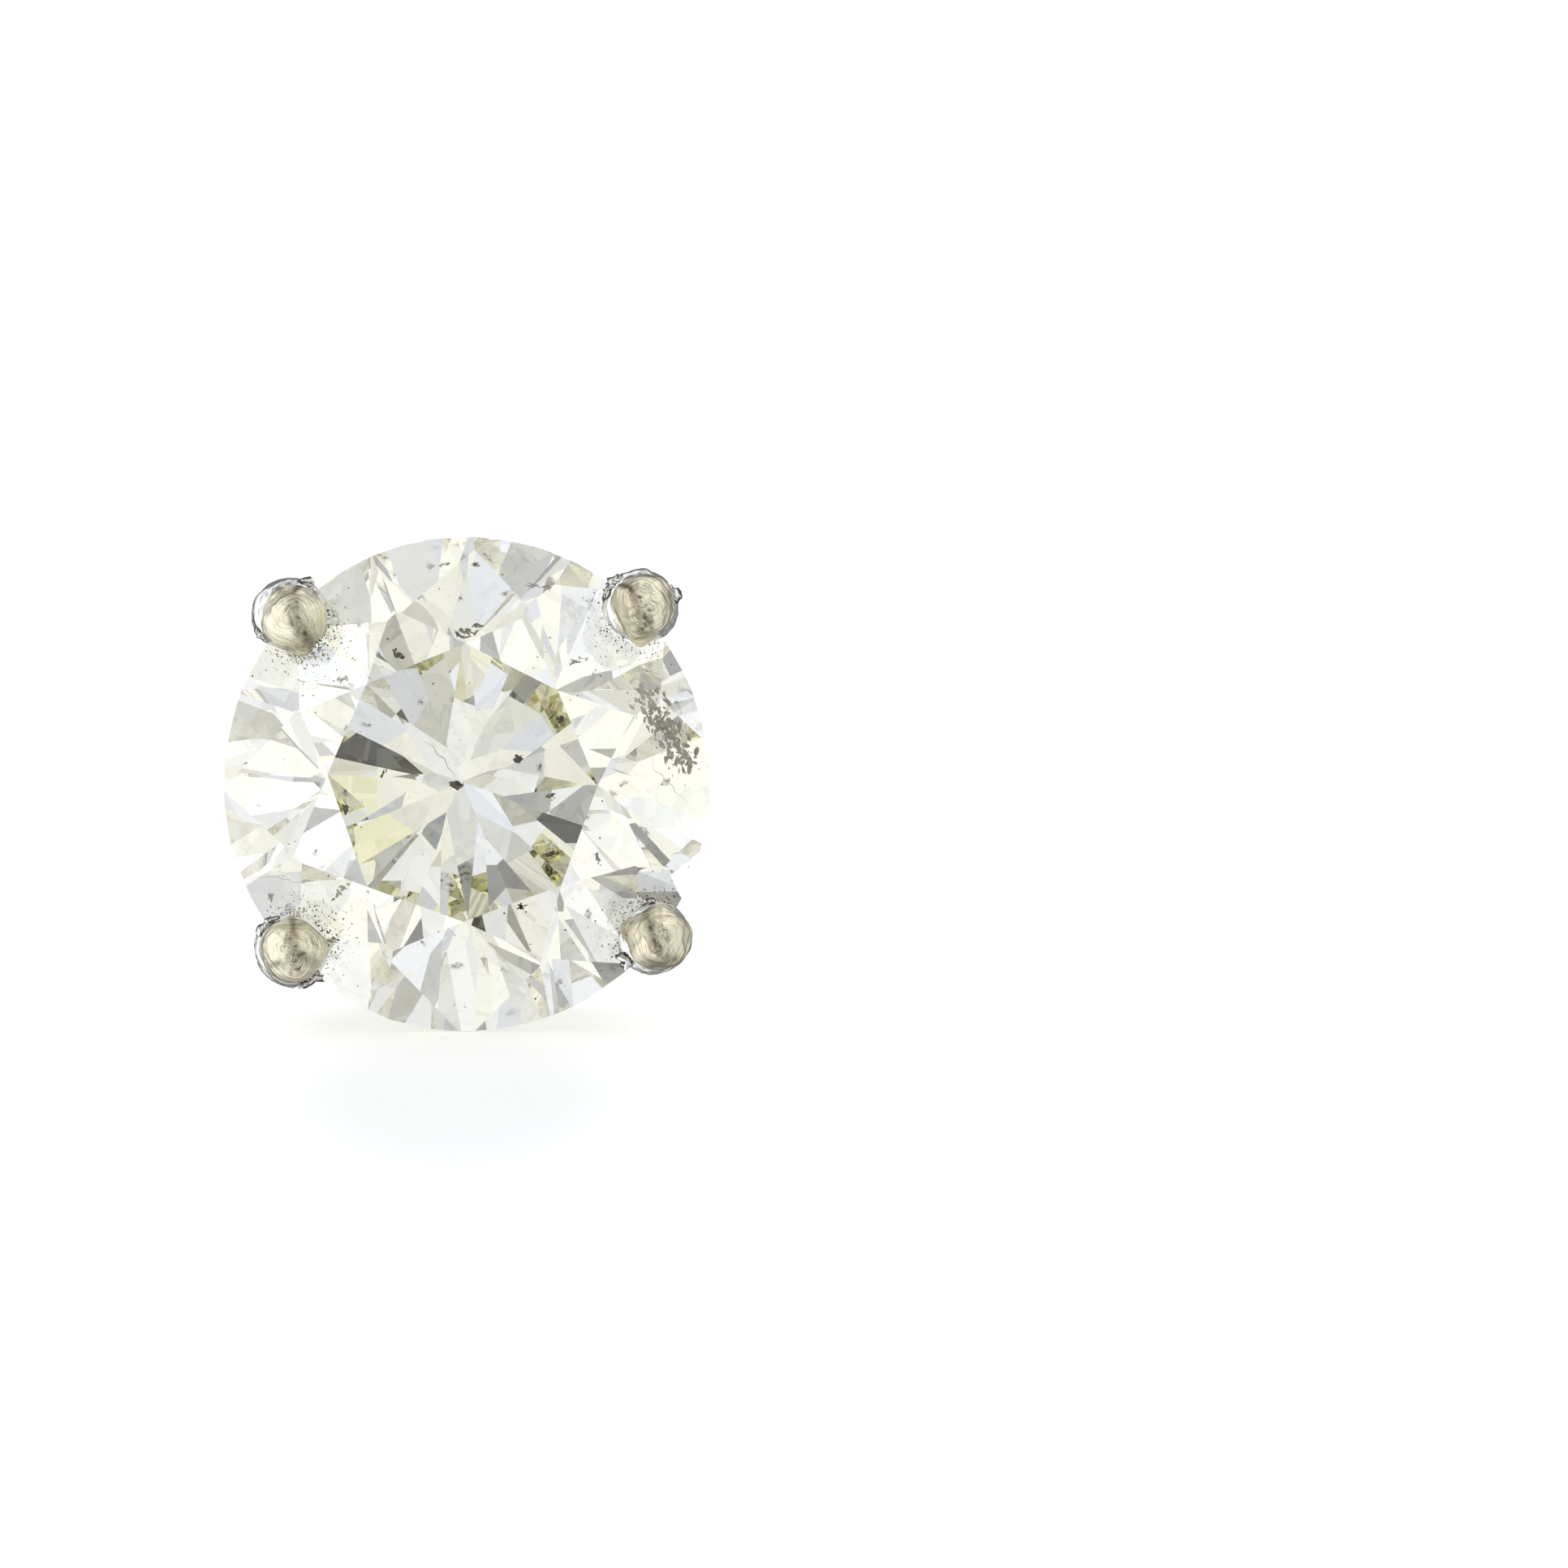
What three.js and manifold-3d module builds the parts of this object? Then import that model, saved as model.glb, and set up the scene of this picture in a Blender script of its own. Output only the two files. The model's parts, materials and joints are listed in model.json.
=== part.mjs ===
// Stud earring: a round brilliant in a four-prong basket, with a straight post and a friction back.
// Millimetres, +Z up. It lies as it rests on a table, on the lowest point of the stone's girdle and
// on the lower edge of the back's plate, with its face towards -Y and tipped a little upwards.
// The origin is on the table, below the middle of the earring's length.
//
// The pieces are first built in the earring's own axes, which share one origin in the middle of the
// girdle's upper edge: +Z out of the face, -Z along the post, +Y towards the top of the face.

import * as THREE from 'three';
import { ConvexGeometry } from 'three/addons/geometries/ConvexGeometry.js';
import { mergeVertices } from 'three/addons/utils/BufferGeometryUtils.js';
import Module from 'manifold-3d';

// The stone.
const stoneWidth = 6.44;
const stoneHeight = 6.56;
const tableDiameter = 3.66;
const crownAngle = 34;
const pavilionAngle = 41;
const girdleThickness = 0.18;
const starLengthShare = 0.52;
const lowerHalfShare = 0.78;
const girdleSides = 64;

// The four prongs, by their bearing round the face from +X towards +Y, in degrees, and by how far
// the middle of each lies inside the girdle's outline. They were set by hand, so no two are alike.
const prongs = [
  { bearing: 45, inset: -0.05 },
  { bearing: 136.2, inset: 0 },
  { bearing: 223.5, inset: 0.06 },
  { bearing: 321.2, inset: 0.01 },
];
const prongWire = 0.98;
const prongRise = 0.36;
const prongBend = 0.75;
const prongFootRadius = 0.85;
const beadDiameter = 0.88;
const beadInset = 0.08;
const beadHeight = 0.5;
const seatGap = 0.05;

// The basket's rails and base.
const railWire = 0.62;
const upperRailHeight = 1.75;
const lowerRailHeight = 0.62;
const culetRoom = 0.75;
const baseDiameter = 2.5;
const baseThickness = 0.5;

// The post.
const postDiameter = 0.84;
const postPastBack = 1.9;
const postTipLength = 0.35;
const notchDepth = 0.09;
const notchLength = 0.5;
const notchFromTip = 1.2;

// The friction back: a strip with a flat plate and two curled ends that press on the post.
const lobeGap = 5.4;
const stripThickness = 0.3;
const plateWidth = 4.4;
const plateStraight = 2.5;
const curlWidth = 3.0;
const curlRadius = 1.2;
const curlGap = 0.12;
const curlTurns = 1.3;
const postClearance = 0.05;
const collarWall = 0.55;
const collarHeight = 0.16;

// How finely round shapes are divided.
const wireSides = 16;
const wireSteps = 12;
const roundSides = 40;

const GOLD = { color: 0xd8cda6, roughness: 0.25, metalness: 1 };
const BRIGHT_GOLD = { color: 0xd9d6c8, roughness: 0.22, metalness: 1 };
const STONE = { color: 0xf3f1dc, roughness: 0.02, metalness: 0, transparent: true, opacity: 0.55 };

const wasm = await Module();
wasm.setup();

const radians = THREE.MathUtils.degToRad;
const girdleRadius = (stoneWidth + stoneHeight) / 4;
const crownHeight = (girdleRadius - tableDiameter / 2) * Math.tan(radians(crownAngle));
const culetZ = -girdleThickness - girdleRadius * Math.tan(radians(pavilionAngle));
const baseFront = culetZ - culetRoom;
const baseBack = baseFront - baseThickness;
const backFront = baseBack - lobeGap;
const plateFront = backFront - collarHeight;
const plateBack = plateFront - stripThickness;
const curlPitch = stripThickness + curlGap;

// A closed geometry as a solid that can be joined and cut.
function toSolid(geometry) {
  const bare = geometry.clone();
  bare.deleteAttribute('normal');
  bare.deleteAttribute('uv');
  const merged = mergeVertices(bare);
  return new wasm.Manifold(new wasm.Mesh({
    numProp: 3,
    vertProperties: merged.getAttribute('position').array,
    triVerts: new Uint32Array(merged.index.array),
  }));
}

// A solid as flat-shaded geometry.
function toGeometry(solid) {
  const { vertProperties, triVerts } = solid.getMesh();
  const indexed = new THREE.BufferGeometry();
  indexed.setAttribute('position', new THREE.BufferAttribute(vertProperties, 3));
  indexed.setIndex(new THREE.BufferAttribute(triVerts, 1));
  const geometry = indexed.toNonIndexed();
  geometry.computeVertexNormals();
  return geometry;
}

// A profile in radius and height, turned round the Z axis.
function turned(profile, sides = roundSides) {
  return new THREE.LatheGeometry(profile, sides).rotateX(Math.PI / 2);
}

// The height over (x, y) of the plane through three points.
function planeHeight([a, b, c], x, y) {
  const normal = b.clone().sub(a).cross(c.clone().sub(a));
  return a.z - (normal.x * (x - a.x) + normal.y * (y - a.y)) / normal.z;
}

function polar(radius, degrees, z) {
  const angle = radians(degrees);
  return new THREE.Vector3(radius * Math.cos(angle), radius * Math.sin(angle), z);
}

// The brilliant as the hull of its corners. Eight main facets stand 45 degrees apart above and below
// the girdle, a pair of halves lies between each two, and stars join the table's corners.
function brilliantGeometry() {
  const eighth = 45;
  const half = eighth / 2;
  const narrow = Math.cos(radians(half));
  const tableRadius = tableDiameter / 2;
  const crownSlope = Math.tan(radians(crownAngle));
  const pavilionSlope = Math.tan(radians(pavilionAngle));
  const starRadius = THREE.MathUtils.lerp(tableRadius * narrow, girdleRadius, starLengthShare);
  const starZ = (girdleRadius - starRadius * narrow) * crownSlope;
  const lowerRadius = girdleRadius * (1 - lowerHalfShare);
  const lowerZ = -girdleThickness - (girdleRadius - lowerRadius * narrow) * pavilionSlope;
  const corners = [new THREE.Vector3(0, 0, culetZ)];
  for (let main = 0; main < 360; main += eighth) {
    corners.push(polar(tableRadius, main, crownHeight));
    corners.push(polar(starRadius, main + half, starZ));
    corners.push(polar(lowerRadius, main + half, lowerZ));
  }
  // Each half facet meets the girdle in a shallow scallop, worked out on its plane.
  for (let side = 0; side < girdleSides; side += 1) {
    const bearing = side * 360 / girdleSides;
    const main = Math.round(bearing / eighth) * eighth;
    const middle = main + (bearing < main ? -half : half);
    const { x, y } = polar(girdleRadius, bearing, 0);
    const upperHalf = [
      polar(girdleRadius, main, 0), polar(girdleRadius, middle, 0), polar(starRadius, middle, starZ),
    ];
    const lowerHalf = [
      polar(girdleRadius, main, -girdleThickness), polar(girdleRadius, middle, -girdleThickness),
      polar(lowerRadius, middle, lowerZ),
    ];
    corners.push(new THREE.Vector3(x, y, planeHeight(upperHalf, x, y)));
    corners.push(new THREE.Vector3(x, y, planeHeight(lowerHalf, x, y)));
  }
  const outOfRound = [stoneWidth / 2 / girdleRadius, stoneHeight / 2 / girdleRadius];
  return new ConvexGeometry(corners).scale(...outOfRound, 1);
}

// How far the girdle reaches at a bearing, on its oval outline.
function girdleReach(bearing) {
  const { x, y } = polar(1, bearing, 0);
  return 1 / Math.hypot(x / (stoneWidth / 2), y / (stoneHeight / 2));
}

// The radius of a prong's centre line at a height between the base and the bend.
function prongRadiusAt(z, reach) {
  const share = (z - baseFront) / (-prongBend - baseFront);
  return THREE.MathUtils.lerp(prongFootRadius, reach, share);
}

// One prong: a round wire that flares from the base, stands up beside the girdle and ends in a bead.
function prongSolid({ bearing, inset }) {
  const reach = girdleReach(bearing) - inset;
  const foot = new THREE.Vector3(prongFootRadius, 0, baseFront);
  const corner = new THREE.Vector3(reach, 0, -prongBend);
  const below = foot.clone().lerp(corner, 1 - prongBend / corner.distanceTo(foot));
  const path = new THREE.CurvePath();
  path.add(new THREE.LineCurve3(foot, below));
  path.add(new THREE.QuadraticBezierCurve3(below, corner, new THREE.Vector3(reach, 0, 0)));
  path.add(new THREE.LineCurve3(new THREE.Vector3(reach, 0, 0), new THREE.Vector3(reach, 0, prongRise)));
  const section = new THREE.Shape().absarc(0, 0, prongWire / 2, 0, 2 * Math.PI);
  const wire = new THREE.ExtrudeGeometry(section, {
    steps: wireSteps, curveSegments: wireSides / 2, bevelEnabled: false, extrudePath: path,
  });
  const beadRadius = beadDiameter / 2;
  const profile = new THREE.Path()
    .moveTo(0, 0)
    .lineTo(beadRadius, 0)
    .absellipse(0, prongRise, beadRadius, beadHeight, 0, Math.PI / 2)
    .getPoints(4);
  const bead = turned(profile, wireSides).translate(reach - beadInset, 0, 0);
  const turn = radians(bearing);
  return toSolid(wire.rotateZ(turn)).add(toSolid(bead.rotateZ(turn)));
}

// A round-wire rail that joins the prongs at a height above the base.
function railSolid(heightAboveBase) {
  const z = baseFront + heightAboveBase;
  const radius = prongRadiusAt(z, girdleRadius);
  return toSolid(new THREE.TorusGeometry(radius, railWire / 2, 10, roundSides).translate(0, 0, z));
}

// The base disc that the prongs stand on, and the post behind it, turned as one profile.
function postSolid() {
  const postRadius = postDiameter / 2;
  const tip = plateFront - 2 * curlRadius - postPastBack;
  const notch = tip + notchFromTip;
  const profile = new THREE.Path()
    .absellipse(0, tip + postTipLength, postRadius, postTipLength, -Math.PI / 2, 0)
    .lineTo(postRadius, notch - notchLength / 2)
    .lineTo(postRadius - notchDepth, notch)
    .lineTo(postRadius, notch + notchLength / 2)
    .lineTo(postRadius, baseBack)
    .lineTo(baseDiameter / 2, baseBack)
    .lineTo(baseDiameter / 2, baseFront)
    .lineTo(0, baseFront)
    .getPoints(3);
  return toSolid(turned(profile, wireSides));
}

// The prongs, rails, base and post are soldered into one, and the prongs are cut to seat the stone.
function settingGeometry() {
  const rails = [railSolid(upperRailHeight), railSolid(lowerRailHeight)];
  const metal = [...prongs.map(prongSolid), ...rails].reduce((sum, piece) => sum.add(piece), postSolid());
  const seatScale = 1 + seatGap / girdleRadius;
  const seat = toSolid(brilliantGeometry().scale(seatScale, seatScale, seatScale));
  return toGeometry(metal.subtract(seat));
}

// One edge of a curled end, from the plate's edge into the scroll, inset from the strip's outside.
// The scroll is a spiral that tightens by the pitch in each turn.
function curlEdge(inset) {
  const steps = Math.ceil(curlTurns * 24);
  const centreX = postDiameter / 2 + postClearance + curlRadius - 0.75 * curlPitch;
  return Array.from({ length: steps + 1 }, (unused, step) => {
    const turns = curlTurns * step / steps;
    const radius = curlRadius - curlPitch * turns - inset;
    const angle = 2 * Math.PI * turns;
    return new THREE.Vector2(centreX + radius * Math.sin(angle), radius * Math.cos(angle) - curlRadius);
  });
}

// A flat outline that is as wide as asked along its straight middle and tapers to the curls' width.
function stripOutline(halfLength, straight, width) {
  return new THREE.Shape([
    new THREE.Vector2(-straight / 2, -width / 2), new THREE.Vector2(straight / 2, -width / 2),
    new THREE.Vector2(halfLength, -curlWidth / 2), new THREE.Vector2(halfLength, curlWidth / 2),
    new THREE.Vector2(straight / 2, width / 2), new THREE.Vector2(-straight / 2, width / 2),
    new THREE.Vector2(-halfLength, curlWidth / 2), new THREE.Vector2(-halfLength, -curlWidth / 2),
  ]);
}

// The friction back as one bent strip with a collar round its hole, clear of the post.
function backGeometry() {
  const outside = curlEdge(0);
  const inside = curlEdge(stripThickness);
  const right = [...outside, ...inside.reverse()];
  const left = right.map(({ x, y }) => new THREE.Vector2(-x, y)).reverse();
  const ribbon = new THREE.ExtrudeGeometry(new THREE.Shape([...right, ...left]), {
    depth: plateWidth, bevelEnabled: false,
  }).rotateX(Math.PI / 2).translate(0, plateWidth / 2, 0);
  const halfLength = outside.reduce((widest, { x }) => Math.max(widest, x), 0) + stripThickness;
  const plateDepth = stripThickness + curlGap / 2;
  const wide = new THREE.ExtrudeGeometry(stripOutline(halfLength, plateStraight, plateWidth), {
    depth: 2 * plateDepth, bevelEnabled: false,
  }).translate(0, 0, -plateDepth);
  const narrow = new THREE.ExtrudeGeometry(stripOutline(halfLength, plateStraight, curlWidth), {
    depth: 3 * curlRadius, bevelEnabled: false,
  }).translate(0, 0, -3 * curlRadius);
  const boreRadius = postDiameter / 2 + postClearance;
  const collar = turned([
    new THREE.Vector2(0, -stripThickness / 2),
    new THREE.Vector2(boreRadius + collarWall, -stripThickness / 2),
    new THREE.Vector2(boreRadius + collarWall - collarHeight, collarHeight),
    new THREE.Vector2(0, collarHeight),
  ], roundSides);
  const bore = new THREE.CylinderGeometry(boreRadius, boreRadius, 8 * curlRadius, roundSides)
    .rotateX(Math.PI / 2);
  const strip = toSolid(ribbon).intersect(toSolid(wide).add(toSolid(narrow)));
  return toGeometry(strip.add(toSolid(collar)).subtract(toSolid(bore))).translate(0, 0, plateFront);
}

function named(name, geometry, finish) {
  const mesh = new THREE.Mesh(geometry, new THREE.MeshStandardMaterial(finish));
  mesh.name = name;
  return mesh;
}

const earring = new THREE.Group();
earring.add(
  named('stone', brilliantGeometry(), STONE),
  named('setting', settingGeometry(), GOLD),
  named('friction_back', backGeometry(), BRIGHT_GOLD),
);

// It rests on the girdle's rear edge in front and on the plate's rear edge behind.
const frontSupport = { height: stoneHeight / 2, z: -girdleThickness };
const rearSupport = { height: plateWidth / 2, z: plateBack };
const tilt = Math.atan2(frontSupport.height - rearSupport.height, frontSupport.z - rearSupport.z);
earring.rotation.x = Math.PI / 2 - tilt;
const frontHeight = frontSupport.height * Math.cos(tilt) - frontSupport.z * Math.sin(tilt);
earring.position.z = frontHeight;

const part = new THREE.Group();
part.add(earring);
const box = new THREE.Box3().setFromObject(part, true);
earring.position.y = -(box.min.y + box.max.y) / 2;

export default part;
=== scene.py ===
"""The looks of the stud earring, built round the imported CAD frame.

Shapes are worked out in millimetres in the earring's own axes, which share one origin in the middle
of the girdle's upper edge: +Z out of the face, -Z along the post, +Y towards the top of the face.
to_frame() turns and moves them into the row frame, in metres, when they become a mesh.
"""
import json
import math

import bmesh
import bpy
import numpy as np
from bpy.props import FloatProperty, FloatVectorProperty, PointerProperty
from bpy.types import Operator, Panel, PropertyGroup
from mathutils import Matrix, Vector


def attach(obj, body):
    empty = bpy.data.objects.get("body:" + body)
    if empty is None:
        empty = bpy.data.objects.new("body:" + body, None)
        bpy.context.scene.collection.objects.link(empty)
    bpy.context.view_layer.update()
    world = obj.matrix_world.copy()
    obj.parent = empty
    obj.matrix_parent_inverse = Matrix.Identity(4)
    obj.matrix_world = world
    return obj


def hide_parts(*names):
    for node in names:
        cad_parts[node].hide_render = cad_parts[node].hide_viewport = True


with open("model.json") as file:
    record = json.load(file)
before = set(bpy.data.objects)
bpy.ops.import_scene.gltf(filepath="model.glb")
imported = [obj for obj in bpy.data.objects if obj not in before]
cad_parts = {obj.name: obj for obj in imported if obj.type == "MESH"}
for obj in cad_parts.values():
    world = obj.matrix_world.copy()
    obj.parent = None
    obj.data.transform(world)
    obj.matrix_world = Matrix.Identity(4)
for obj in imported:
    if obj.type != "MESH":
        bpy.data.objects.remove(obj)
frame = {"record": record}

bl_info = {
    "name": "Stud earring",
    "version": (1, 0, 0),
    "blender": (4, 5, 0),
    "location": "3D View > Sidebar > Earring",
    "description": "Builds a four-prong stud earring round its CAD frame, piece by piece",
    "category": "Object",
}

MM = 0.001
FULL_TURN = 2 * math.pi
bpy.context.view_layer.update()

# The earring's own axes in the row frame. They are read off the record's mount on the base's rear
# face: its axis points along the post, and it lies LOBE_MOUNT_X to the right of the post.
LOBE_MOUNT = next(mount for mount in frame["record"]["mounts"] if mount["name"] == "lobe_front")
LOBE_MOUNT_X = 0.83
TILT = math.atan2(-LOBE_MOUNT["axis"][2], LOBE_MOUNT["axis"][1])
AXES = np.array([
    [1.0, 0.0, 0.0],
    [0.0, math.sin(TILT), -math.cos(TILT)],
    [0.0, math.cos(TILT), math.sin(TILT)],
])

# The stone's cut. The basket was set out in CAD from CAD_PAVILION_ANGLE.
EIGHTH = 45.0
NARROW = math.cos(math.radians(EIGHTH / 2))
CAD_PAVILION_ANGLE = 41.0
CUT_SEED = 2059
TABLE_CORNERS = (  # bearing in degrees and reach in mm, one for each main facet of the crown
    (-0.7, 1.738), (45.7, 1.732), (90.3, 1.861), (135.0, 1.872),
    (176.2, 1.844), (226.0, 1.891), (268.7, 1.824), (313.1, 1.840),
)
MEAN_TABLE_REACH = 1.83
CULET_X, CULET_Y = -0.065, 0.027
BLANK_BOTTOM, BLANK_TOP = -4.5, 1.5  # heights of the prism that the stone is cut from
GIRDLE_STEPS = 360
GIRDLE_FACES = 0.2  # a face is the girdle's if its normal climbs less than this
DIAMOND_INDEX = 2.417
SKEW_PER_DEGREE = 0.02  # mm that a half facet's edge moves for each degree of unevenness
EDGE_ROUGH, EDGE_GRAIN = 0.004, 0.5  # height and wavelength in mm of the ground edge
CHIP_ROUGH, CHIP_GRAIN = 0.28, 0.22  # the same in a chip, as a share of its depth and in mm
GROUND_ROUGHNESS, GROUND_GRAIN, GROUND_BUMP = 0.5, 0.06, 0.004
BODY_COLOUR, BODY_DENSITY = (0.90, 0.85, 0.10, 1.0), 15.5  # pale yellow, absorbed per metre
GIRDLE_CHIPS = (  # bearing and half width in degrees, depth in mm
    (-23.5, 4.4, 0.24), (-19.0, 2.6, 0.08), (-12.0, 1.6, 0.03), (84.0, 1.2, 0.02), (203.0, 1.5, 0.02),
)

# The prongs: name, bearing in degrees, inset of the centre line in mm, side of the bead that is
# pressed flat with its depth in mm, the side where a lip is drawn out with its length, and how far the
# bead sits inwards and counter-clockwise of its wire.
PRONGS = (
    ("upper_right", 45.6, -0.04, 205.0, 0.10, 262.0, 0.10, -0.02, -0.03),
    ("upper_left", 136.2, 0.0, 250.0, 0.01, 288.0, 0.09, 0.08, 0.0),
    ("lower_left", 223.5, 0.06, 60.0, 0.03, 10.0, 0.02, 0.0, 0.01),
    ("lower_right", 320.6, 0.05, 120.0, 0.03, 165.0, 0.11, -0.06, 0.05),
)
PRONG_BEND = 0.75
PRONG_FOOT, FOOT_DEPTH = 0.85, 0.3
PRONG_SIDES = 96
FLARE_RINGS, BEND_RINGS, STAND_RINGS, SHOULDER_RINGS, DOME_RINGS = 43, 31, 8, 33, 44
DOME_FULLNESS, DOME_HEIGHT = 0.92, 0.985  # power of the cosine, and share of the bead's height
# Rings over the wire's end where a change begins, and how many it takes.
BEAD_FORMS, PLATING_GOES, DENTS_GROW = (20, 14), (21, 5), (-14, 12)
# Ring over the wire's end from which the painted dark reflections on a bead begin.
PAINTED_REFLECTIONS_FROM = 26
FLAT_HALF, LIP_HALF = 1.3, 0.55  # radians round the bead
LIP_LEVEL, LIP_DEPTH = 0.97, 0.3  # where the lip stands out most and fades out, in the bead's radius
LIP_DROP = 0.4  # how far the lip droops, in shares of its length
DENTS, FINE_DENTS, WIRE_DENTS = 0.014, 0.0035, 0.15  # heights in mm, and the wire's share of them
DENT_WAVES, FINE_DENT_WAVES = 0.45, 0.12  # in mm
DENTS_UPWARDS = 0.35  # how far the direction of a bead's dents leans to the face
# Painted shade along the prongs' shoulders and where the beads meet the stone: its mean strength, how
# unevenly it breaks, and the wavelength of that.
SHADE_LINE_MEAN, SHADE_LINE_BREAKS, SHADE_LINE_WAVES = 0.65, 0.55, 0.16  # strength, its unevenness, wavelength in mm
STREAK_WAVER = 0.05  # in mm
SEAT_GAP = 0.01
# Half width in mm of the painted shade line where a bead meets the stone.
CONTACT_SHADE = 0.035
SHOULDER = (  # the step between wire and bead: radius, height over the rise, share of the bead's shift
    (0.490, -0.200, 0.00), (0.487, -0.120, 0.00), (0.468, -0.055, 0.08), (0.436, -0.010, 0.38),
    (0.418, 0.006, 0.75), (0.414, 0.014, 0.93), (0.424, 0.024, 1.00), (0.436, 0.045, 1.00),
)
# Painted dark reflections on the beads, laid as soft brown strokes.
PAINTED_REFLECTIONS = (  # prong, start and end in shares of the bead's radius from its middle, half width, strength
    (1, -0.88, 0.69, -0.40, 0.91, 0.14, 0.70), (1, -0.40, 0.79, -0.03, 0.70, 0.20, 0.60),
    (1, -0.03, 0.77, 0.15, 0.98, 0.20, 0.85), (1, -0.03, 0.72, 0.04, 0.34, 0.36, 0.60),
    (1, 0.04, 0.34, 0.00, -0.09, 0.36, 0.45), (1, 0.11, 0.04, 0.17, 0.00, 0.09, 0.90),
    (1, 0.06, -0.12, 0.32, -0.43, 0.40, 0.60), (1, 0.32, -0.43, 0.36, -0.50, 0.20, 0.90),
    (1, 0.32, -0.43, 0.49, -0.77, 0.36, 0.65), (1, -0.20, -0.91, 0.49, -0.86, 0.22, 0.50),
    (0, -0.79, 0.69, -0.39, 0.55, 0.16, 0.90), (0, -0.44, 0.56, -0.40, 0.50, 0.13, 1.00),
    (0, -0.39, 0.55, -0.26, 0.15, 0.32, 0.60), (0, -0.26, 0.15, -0.18, -0.20, 0.30, 0.50),
    (0, -0.23, -0.10, -0.18, -0.16, 0.09, 0.80), (0, -0.18, -0.20, 0.04, -0.54, 0.32, 0.65),
    (0, 0.02, -0.52, 0.05, -0.57, 0.15, 0.95), (0, -0.08, -0.66, -0.02, -0.70, 0.08, 0.95),
    (0, -0.10, -0.75, 0.45, -0.90, 0.34, 0.55), (0, 0.74, 0.38, 0.82, -0.10, 0.14, 0.50),
    (0, -0.26, 0.96, 0.44, 1.00, 0.14, 0.50),
    (2, 0.02, 0.95, 0.02, 0.60, 0.22, 0.80), (2, 0.00, 0.60, 0.08, -0.08, 0.32, 0.55),
    (2, 0.19, -0.15, 0.34, -0.08, 0.16, 0.90), (2, -0.42, -0.38, -0.64, -0.45, 0.18, 0.60),
    (2, 0.30, -0.15, 0.72, -0.38, 0.32, 0.50), (2, -0.60, 0.70, 0.50, 0.85, 0.14, 0.40),
    (3, -0.49, 0.90, -0.30, 0.38, 0.32, 0.60), (3, -0.29, 0.32, -0.25, 0.28, 0.15, 0.90),
    (3, -0.30, 0.38, -0.11, -0.23, 0.36, 0.60), (3, -0.15, -0.09, -0.13, -0.13, 0.10, 0.90),
    (3, 0.03, -0.25, 0.06, -0.30, 0.12, 0.80), (3, -0.98, 0.23, -0.90, -0.38, 0.40, 0.50),
    (3, -0.23, -0.83, 0.53, -0.68, 0.34, 0.50),
)
# Painted shade lines round each prong, along its shoulder and at the foot of its bead.
SHADE_RINGS = (  # ring over the wire's end, half width in rings, strength
    (5.0, 1.8, 1.0), (12.5, 1.6, 0.8), (23.0, 4.5, 1.1), (33.0, 4.5, 0.9),
)
BURRS = (  # prong, bearing round the bead, half width in degrees, height in mm
    (0, 145.0, 26.0, 0.15), (0, 26.0, 12.0, 0.12), (1, 50.0, 16.0, 0.15), (1, 212.0, 12.0, 0.08),
    (2, 136.0, 18.0, 0.14), (2, 302.0, 15.0, 0.14), (3, 218.0, 17.0, 0.15), (3, 98.0, 12.0, 0.07),
)
# A torn edge's own measures are in mm, apart from shares of its height.
BURR_POINTS, BURR_SIDES = 90, 12
BURR_JAGS = (0.65, 0.4, 0.15)  # the mean and the coarse and fine unevenness of a torn edge's height
BURR_SHARE, BURR_LEAST, BURR_ROOT = 0.6, 0.004, 0.06
BURR_INSET, BURR_WANDER, BURR_LEAN = 0.022, 0.016, 0.45
BURR_THIN, BURR_THICKER = 0.012, 0.008
# Painted shade on a torn edge: its mean, how unevenly it breaks, and how much more of it lies on one face.
BURR_SHADE, BURR_SHADE_BREAKS, BURR_SHADE_SIDE = 0.2, 1.1, 0.5
SHARDS_PER_BURR = 7
SHARD_THICKNESS = 0.035
SHARD_INSET, SHARD_OUTWARDS, SHARD_ROOT = 0.03, 0.35, 0.05
SHARD_LENGTHS, SHARD_WIDTHS, SHARD_SWING = (0.5, 1.25), (0.22, 0.45), 0.45
# Each bright shard has a dark one under it as a painted shadow: how far under, and how much longer and
# wider.
UNDER_SHARD, UNDER_LONGER, UNDER_WIDER = 0.025, 1.15, 0.035  # the dark shard under each bright one
WIRE_LINES = 6.0  # how much finer the polishing lines are round the wire than on the bead

# The metal. Marks make it duller, rougher and uneven by these shares.
STREAK_SPACING, STREAK_REACH = 0.045, 1.3
BROAD_GRAIN = 7
WEAR_STARTS, WEAR_UNEVEN = 0.25, 0.5
DULL_STREAKS, DULL_HOLLOWS, DULL_TONE = 0.42, 0.4, 0.45
# How much the broad grain breaks up the painted dark reflections on the beads, and the least of them.
REFLECTION_UNEVEN, REFLECTION_LEAST = 1.4, 0.3
UNEVEN_ROUGH, STREAK_ROUGH, WORN_ROUGH, SHADED_ROUGH = 0.22, 0.15, 0.12, 0.3
GRAIN_HEIGHT = 0.25
METAL_BUMP, METAL_BUMP_DEPTH = 0.55, 0.02
METALS = {  # worn share, or none where the piece gives it, grain in mm, seed, roughness, streaks, painted shade
    "worn_prong_gold": (None, 0.03, 2.0, 0.10, 0.70, 0.6),
    "torn_edge_gold": (0.30, 0.02, 5.0, 0.18, 0.0, 0.9),
    "polished_basket_gold": (0.35, 0.05, 8.0, 0.16, 0.25, 0.6),
    "friction_back_gold": (0.30, 0.05, 14.0, 0.20, 0.35, 0.6),
}

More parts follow.
